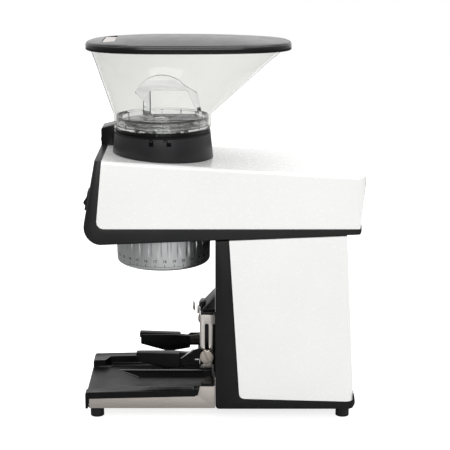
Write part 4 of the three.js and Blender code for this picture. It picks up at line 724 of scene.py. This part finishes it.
lid_rings = [lid_ring(lid_low.z + rise, inset, share) for rise, inset, share in LID_PROFILE]
lid_rings += [lid_ring(min(LID_EDGE + LID_CROWN * (1 - share ** 2), LID_TOP), 0, share)
              for share in CROWN_SHARES]
lid = drawn("hopper_lid_shell", lid_rings, (LID_WIDEST, 0))
cut_off(lid, block("recess_cutter", (RECESS_X, 0, RECESS_FLOOR + RECESS_CUT / 2),
                   (RECESS_LONG, RECESS_WIDE, RECESS_CUT)))
soften(lid, LID_SMOOTH)
fit_out(lid, lid_black, body_of["hopper_lid"], slot_of["hopper_lid"], "hopper_lid")
# Faces that do not point up take the darker, less glossy black: painted shade on the band and the sides
lid.data.materials.append(band_painted_shade)
for face in lid.data.polygons:
    face.material_index = 0 if face.normal.z > FACES_UP else 1
inlay = block("lid_inlay_bar", (RECESS_X, INLAY_ASIDE, RECESS_FLOOR + INLAY_RISE + INLAY_TALL / 2),
              (INLAY_LONG, INLAY_WIDE, INLAY_TALL))
finished(inlay, 0.3, inlay_metal, "lid_inlay", "lid_inlay")

# Grind ring: flutes that fade out above the scale, and the scale from 0 to 30
grind_low, grind_high = limits("grind_ring")
RING_LOW, RING_HIGH = grind_low.z, grind_high.z
RING_BORE, LIP_BORE, LIP_TALL, LIP_BEVEL = 49.9, 41.0, 3.2, 0.4
SCALE_RADIUS, SCALE_WIDENS, SCALE_TALL, SCALE_ROUNDING = 53.2, 0.25, 16, 4
DIVISIONS, SIDES_PER_DIVISION = 31, 12
DIVISION = 360 / DIVISIONS
NUMBER_AT_REST, REST_TURN = 18, 3.1
FLUTE_DEPTH, LAND_GROWTH = 1.1, 0.45
FLUTES_FROM, FLUTES_FADE, FADE_POWER = 188, 18, 0.7
FLUTE_HALF, FLUTE_SIDE = 0.17, 0.05
ROUNDED_RISES = (0.01, 0.2, 0.6, 1.2, 2.0, 3.0, 4.0)
FLUTED_LEVELS = (182, 188, 189.5, 191, 193, 196, 200, 206, 216, RING_HIGH)
RING_SMOOTH = 30
NUMERAL_TALL, NUMERAL_LEVEL, NUMERAL_PROUD = 3.2, 184.9, 0.08
TICK_WIDE, TICK_TALL, TICK_LEVEL, LINE_PROUD = 0.6, 2.9, 179.95, 0.05
LINE_THICK, CELLS_PER_DIVISION = 0.32, 8
UPPER_FIRST, UPPER_LAST, UPPER_LEVEL = 14, 20, 178.5
LOWER_LAST, LOWER_LEVEL = 45, 176.9


def number_turn(number):
    return (number - NUMBER_AT_REST) * DIVISION + REST_TURN


def scale_radius(height):
    """Outside of the ring's plain band, with its rounded lower edge"""
    low = max(0.0, RING_LOW + SCALE_ROUNDING - height)
    rounding = SCALE_ROUNDING - math.sqrt(max(0.0, SCALE_ROUNDING ** 2 - low * low))
    return SCALE_RADIUS + SCALE_WIDENS * (height - RING_LOW) / SCALE_TALL - rounding


def fluted_ring(height):
    fade = min(1.0, max(0.0, (height - FLUTES_FROM) / FLUTES_FADE)) ** FADE_POWER
    land = scale_radius(min(height, RING_LOW + SCALE_TALL)) + LAND_GROWTH * fade
    ring = []
    for side in range(DIVISIONS * SIDES_PER_DIVISION):
        share = (side + 0.5) / SIDES_PER_DIVISION
        turn = math.radians(number_turn(0) + share * DIVISION)
        across = abs(share % 1 - 0.5)
        groove = min(1.0, max(0.0, (FLUTE_HALF - across) / FLUTE_SIDE))
        radius = land - FLUTE_DEPTH * fade * groove
        ring.append((radius * math.sin(turn), -radius * math.cos(turn), height))
    return ring


plain_profile = [(RING_BORE, RING_HIGH), (RING_BORE, RING_LOW + LIP_TALL), (LIP_BORE, RING_LOW + LIP_TALL),
                 (LIP_BORE, RING_LOW + LIP_BEVEL), (LIP_BORE + LIP_BEVEL, RING_LOW)]
plain_profile += [(scale_radius(RING_LOW + rise), RING_LOW + rise) for rise in ROUNDED_RISES]
ring_rings = [round_ring(radius, height, DIVISIONS * SIDES_PER_DIVISION) for radius, height in plain_profile]
ring_rings += [fluted_ring(height) for height in FLUTED_LEVELS]
grind_ring = drawn("grind_ring_turned", ring_rings, closing="loop")
soften(grind_ring, RING_SMOOTH)
fit_out(grind_ring, ring_aluminium, body_of["grind_ring"], slot_of["grind_ring"], "grind_ring")


def scale_line(piece, number, height):
    return wrapped(piece, number_turn(number), height, scale_radius, LINE_PROUD)


marks = [numeral(number, NUMERAL_TALL, number_turn(number), NUMERAL_LEVEL, scale_radius, NUMERAL_PROUD)
         for number in range(DIVISIONS)]
for number in range(DIVISIONS):
    marks.append(scale_line(centred_bar("tick", TICK_WIDE, TICK_TALL), number, TICK_LEVEL))
for first, last, level in ((UPPER_FIRST, UPPER_LAST, UPPER_LEVEL), (UPPER_LAST, LOWER_LAST, LOWER_LEVEL)):
    divisions = last - first
    length = math.radians(divisions * DIVISION) * SCALE_RADIUS
    line = flat_bar("line", (0, length), (-LINE_THICK / 2, LINE_THICK / 2), CELLS_PER_DIVISION * divisions)
    marks.append(scale_line(line, first, level))
for number in (UPPER_FIRST, UPPER_LAST):
    step = centred_bar("step", LINE_THICK, UPPER_LEVEL - LOWER_LEVEL)
    marks.append(scale_line(step, number, (UPPER_LEVEL + LOWER_LEVEL) / 2))
fit_out(joined(marks, "scale_marks"), mark_dark, body_of["grind_ring"], slot_of["hopper_collar"])

# Tray: without the low wedge on each rim, with painted shade that darkens the trough, and lighter glossy lips
# whose colour paints highlight lines along its edges
WEDGE_Y, WEDGE_WIDE, WEDGE_THICK = 57.2, 8.5, 20
WEDGE_FRONT, WEDGE_REAR = (-95, 44.31), (34.6, 47.36)
TROUGH_ACROSS, TROUGH_LEVELS = (17.5, 25.5), (20.7, 26.4)
# Each lip, a strip of lighter glossy black that paints a highlight line along an edge, runs from one point to
# another, and has a width and a height
LIPS = [
    ((-55.4, 28, 26.7), (45.5, 28, 26.7), 5, 1.2),
    ((-54.6, 27.2, 26.9), (-31.6, 19.9, 20.9), 4.6, 1.0),
    ((-66.5, 52.7, 26.9), (45.5, 52.7, 26.9), 1.2, 1.2),
    ((-66.8, 39.4, 26.9), (-85.5, 39.4, 26.9), 1.2, 1.2),
    ((-66.4, 39.6, 26.9), (-62.6, 43, 26.9), 1.2, 1.2)]
base_low = limits("tray_base")[0]
HEM_Y, HEM_Z = base_low.y + 2.1, base_low.z + 1.8
HEM_FRONT, HEM_REAR, HEM_WIDE, HEM_TALL = base_low.x - 1, 46.4, 1.4, 2.6
rounded("tray_base", 0.3, tray_steel)
tray = worked_copy("drip_tray", "drip_tray_moulded", 0)
for side in (-1, 1):
    front, rear = ((x, side * WEDGE_Y, z) for x, z in (WEDGE_FRONT, WEDGE_REAR))
    cut_off(tray, bar("rim_cutter", front, rear, WEDGE_WIDE, WEDGE_THICK))
finished(tray, 0, tray_black, "drip_tray", "drip_tray")
# The trough's faces take the darker black: painted shade in the recess
tray.data.materials.append(trough_painted_shade)
for face in tray.data.polygons:
    across, level = abs(face.center.y) / MM, face.center.z / MM
    if TROUGH_ACROSS[0] < across < TROUGH_ACROSS[1] and TROUGH_LEVELS[0] < level < TROUGH_LEVELS[1]:
        face.material_index = 1
finished(joined([bar("bead", *lip) for lip in LIPS], "tray_highlight_beads"), 0.35, lip_painted_highlight, "drip_tray")
hem = bar("base_hem", (HEM_FRONT, HEM_Y, HEM_Z), (HEM_REAR, HEM_Y, HEM_Z), HEM_WIDE, HEM_TALL)
finished(hem, 0.5, bright_metal, "tray_base")

# Bracket with a dark block in front of the column behind its slots, partly the column's black face and partly
# painted shade inside the bracket, its pin, its bolt and the clip for the portafilter's rim
SHADE_BLOCK_PLACE, SHADE_BLOCK_SIZE = (limits("column_frame")[0].x - 0.8, 0, 69), (2.6, 32, 70)
CLIP_JAWS = [(33.9, 118.6), (35.4, 115.2), (38.6, 112.8), (35.6, 109.8), (33.6, 106.6)]
CLIP_TAB = [(38.4, 112.6), (40.6, 112.6)]
CLIP_PLATE = [(40.6, 118.4), (40.6, 106.8)]
rounded("fork_bracket", 0.25, bracket_steel)
# The dark block: the column's black face seen through the slots, with painted shade for the bracket's shaded
# inside
finished(block("bracket_shade_block", SHADE_BLOCK_PLACE, SHADE_BLOCK_SIZE), 0.4, gloss_black, "column_frame")
rounded("hood_pin", 0.3, gloss_black)
clip_low, clip_high = limits("rim_clip")
clip = joined([bent_strip(name, path, clip_low.y, clip_high.y, thick)
               for name, path, thick in (("clip_jaws", CLIP_JAWS, 1.3), ("clip_tab", CLIP_TAB, 1.0),
                                         ("clip_plate", CLIP_PLATE, 0.9))], "rim_clip_bent")
finished(clip, 0.2, clip_steel, "rim_clip", "rim_clip")
rounded("bracket_bolt", 0.2, turned_steel)

# Fork: its carrier without the far gusset's peak, and a bright fold on the near gusset
PEAK_CUT, PEAK_SIZE = (27, 40, 91.9), (60, 40, 40)
CARRIER_NEAR = limits("fork_carrier")[0].y
FOLD_PATH = [(19.6, 64.6), (34.4, 75.3), (41.2, 77.6)]
FOLD_NEAR, FOLD_FAR, FOLD_THICK = CARRIER_NEAR - 0.1, CARRIER_NEAR + 3.1, 1.1
HOOK_Y, HOOK_WIDE = CARRIER_NEAR + 1, 2.2
NECK_START = 31
carrier = worked_copy("fork_carrier", "fork_carrier_folded", 0)
cut_off(carrier, block("carrier_cutter", PEAK_CUT, PEAK_SIZE))
finished(carrier, 0.3, fork_black, "fork_carrier", "fork_carrier")
edge = joined([
    bent_strip("gusset_fold", FOLD_PATH, FOLD_NEAR, FOLD_FAR, FOLD_THICK),
    bar("gusset_hook", (35.8, HOOK_Y, 63.4), (41.9, HOOK_Y, 63.4), HOOK_WIDE, 1.6),
    bar("gusset_hook", (41.6, HOOK_Y, 64.0), (41.6, HOOK_Y, 57.2), HOOK_WIDE, 1.2)], "gusset_edge")
round_edges(edge, 0.2)
soften(edge)
fit_out(edge, bright_metal, body_of["fork_carrier"], slot_of["rim_clip"])
for side in ("right", "left"):
    prong = rounded(f"prong_{side}", 0.8, fork_black, 3)
    prong.data.materials.append(neck_steel)
    for face in prong.data.polygons:
        face.material_index = 1 if face.center.x > place(NECK_START, 0, 0).x else 0
    rounded(f"thumb_screw_{side}", 0.25, turned_steel)

# Inside: material and pieces
INSIDE = [
    (casing_black, ("bean_throat",)),
    (cast_metal, ("gear_case", "gear_case_lid", "cone_carrier", "motor_bell")),
    (tool_steel, ("burr_bearing", "ring_burr", "cone_burr", "idler_axle", "motor_pinion", "cone_nut",
                  "armature")),
    (gear_plastic, ("burr_gear", "idler_gear", "ring_retainer")),
    (tray_steel, ("motor_can",)),
    (magnet_dark, ("motor_magnet_right", "motor_magnet_left")),
    (board_green, ("control_board",))]
for material, members in INSIDE:
    for node in members:
        dress(node, material)


# Floor: lit for the camera, and darker to both sides where the machine mirrors it
def any_ray(tree, *kinds):
    """One for rays of these kinds, else zero"""
    path = tree.nodes.new("ShaderNodeLightPath")
    found = path.outputs[f"Is {kinds[0]} Ray"]
    for kind in kinds[1:]:
        found = reckoned(tree, "MAXIMUM", found, path.outputs[f"Is {kind} Ray"])
    return found


WHITE, BLACK, FLOOR_TONE = (1, 1, 1, 1), (0, 0, 0, 1), tone(214, 214, 214)
FLOOR_SIZE, FLOOR_GLOW = 7, 0.76
MIRROR_MIDDLE, MIRROR_NEAR, MIRROR_FAR = 0.1, 0.1, 0.8
MIRROR_BRIGHT, MIRROR_DARK = 0.72, 0.2
deselect()
bpy.ops.mesh.primitive_plane_add(size=FLOOR_SIZE, location=(0, 0, 0))
floor = named("floor")
ground = finish("pale_floor", FLOOR_TONE, 0.8, Specular_IOR_Level=0.1)
tree = ground.node_tree
spot = tree.nodes.new("ShaderNodeSeparateXYZ")
tree.links.new(tree.nodes.new("ShaderNodeTexCoord").outputs["Object"], spot.inputs["Vector"])
aside = reckoned(tree, "ABSOLUTE", reckoned(tree, "SUBTRACT", spot.outputs["X"], MIRROR_MIDDLE))
mirrored = ranged(tree, aside, MIRROR_NEAR, MIRROR_FAR, MIRROR_BRIGHT, MIRROR_DARK)
darker = reckoned(tree, "MULTIPLY", reckoned(tree, "SUBTRACT", 1.0, mirrored), any_ray(tree, "Glossy"))
feed(tree, blended(tree, darker, FLOOR_TONE, BLACK), shader_of(ground).inputs["Base Color"])
glow = reckoned(tree, "MULTIPLY", any_ray(tree, "Camera", "Transmission"), FLOOR_GLOW)
shader_of(ground).inputs["Emission Color"].default_value = WHITE
feed(tree, glow, shader_of(ground).inputs["Emission Strength"])
floor.data.materials.append(ground)

# Backdrop: white for the camera, brightest behind and above, darker high up through the clear hopper
BRIGHT_SIDE = (0.25, 0.7, 0.66)
STUDIO_RANGE, STUDIO_DARK, STUDIO_BRIGHT = (-0.7, 0.8), 0.3, 1.0
THROUGH_RANGE, THROUGH_LOW, THROUGH_HIGH = (0.15, 0.55), 1.0, 0.12
world = bpy.data.worlds.new("studio")
bpy.context.scene.world = world
world.use_nodes = True
tree = world.node_tree
where = tree.nodes.new("ShaderNodeTexCoord").outputs["Generated"]
facing = tree.nodes.new("ShaderNodeVectorMath")
facing.operation = "DOT_PRODUCT"
facing.inputs[1].default_value = BRIGHT_SIDE
tree.links.new(where, facing.inputs[0])
spot = tree.nodes.new("ShaderNodeSeparateXYZ")
tree.links.new(where, spot.inputs["Vector"])
studio = ranged(tree, facing.outputs["Value"], *STUDIO_RANGE, STUDIO_DARK, STUDIO_BRIGHT)
through = ranged(tree, spot.outputs["Z"], *THROUGH_RANGE, THROUGH_LOW, THROUGH_HIGH)
behind = blended(tree, any_ray(tree, "Transmission"), studio, through)
feed(tree, blended(tree, any_ray(tree, "Camera"), behind, WHITE), tree.nodes["Background"].inputs["Color"])


# Lamps, in metres and watts
def lamp(name, spot, target, size, power):
    light = bpy.data.lights.new(name, "AREA")
    light.shape = "RECTANGLE"
    light.size, light.size_y = size
    light.energy = power
    holder = bpy.data.objects.new(name, light)
    holder.location = spot
    holder.rotation_euler = (Vector(target) - Vector(spot)).to_track_quat("-Z", "Y").to_euler()
    bpy.context.scene.collection.objects.link(holder)


lamp("front_softbox", (0.1, -2.2, 1.3), (0, 0, 0.22), (1.8, 1.2), 26)
lamp("top_softbox", (0.2, 0.3, 2.2), (0, 0, 0.3), (1.8, 1.8), 16.5)
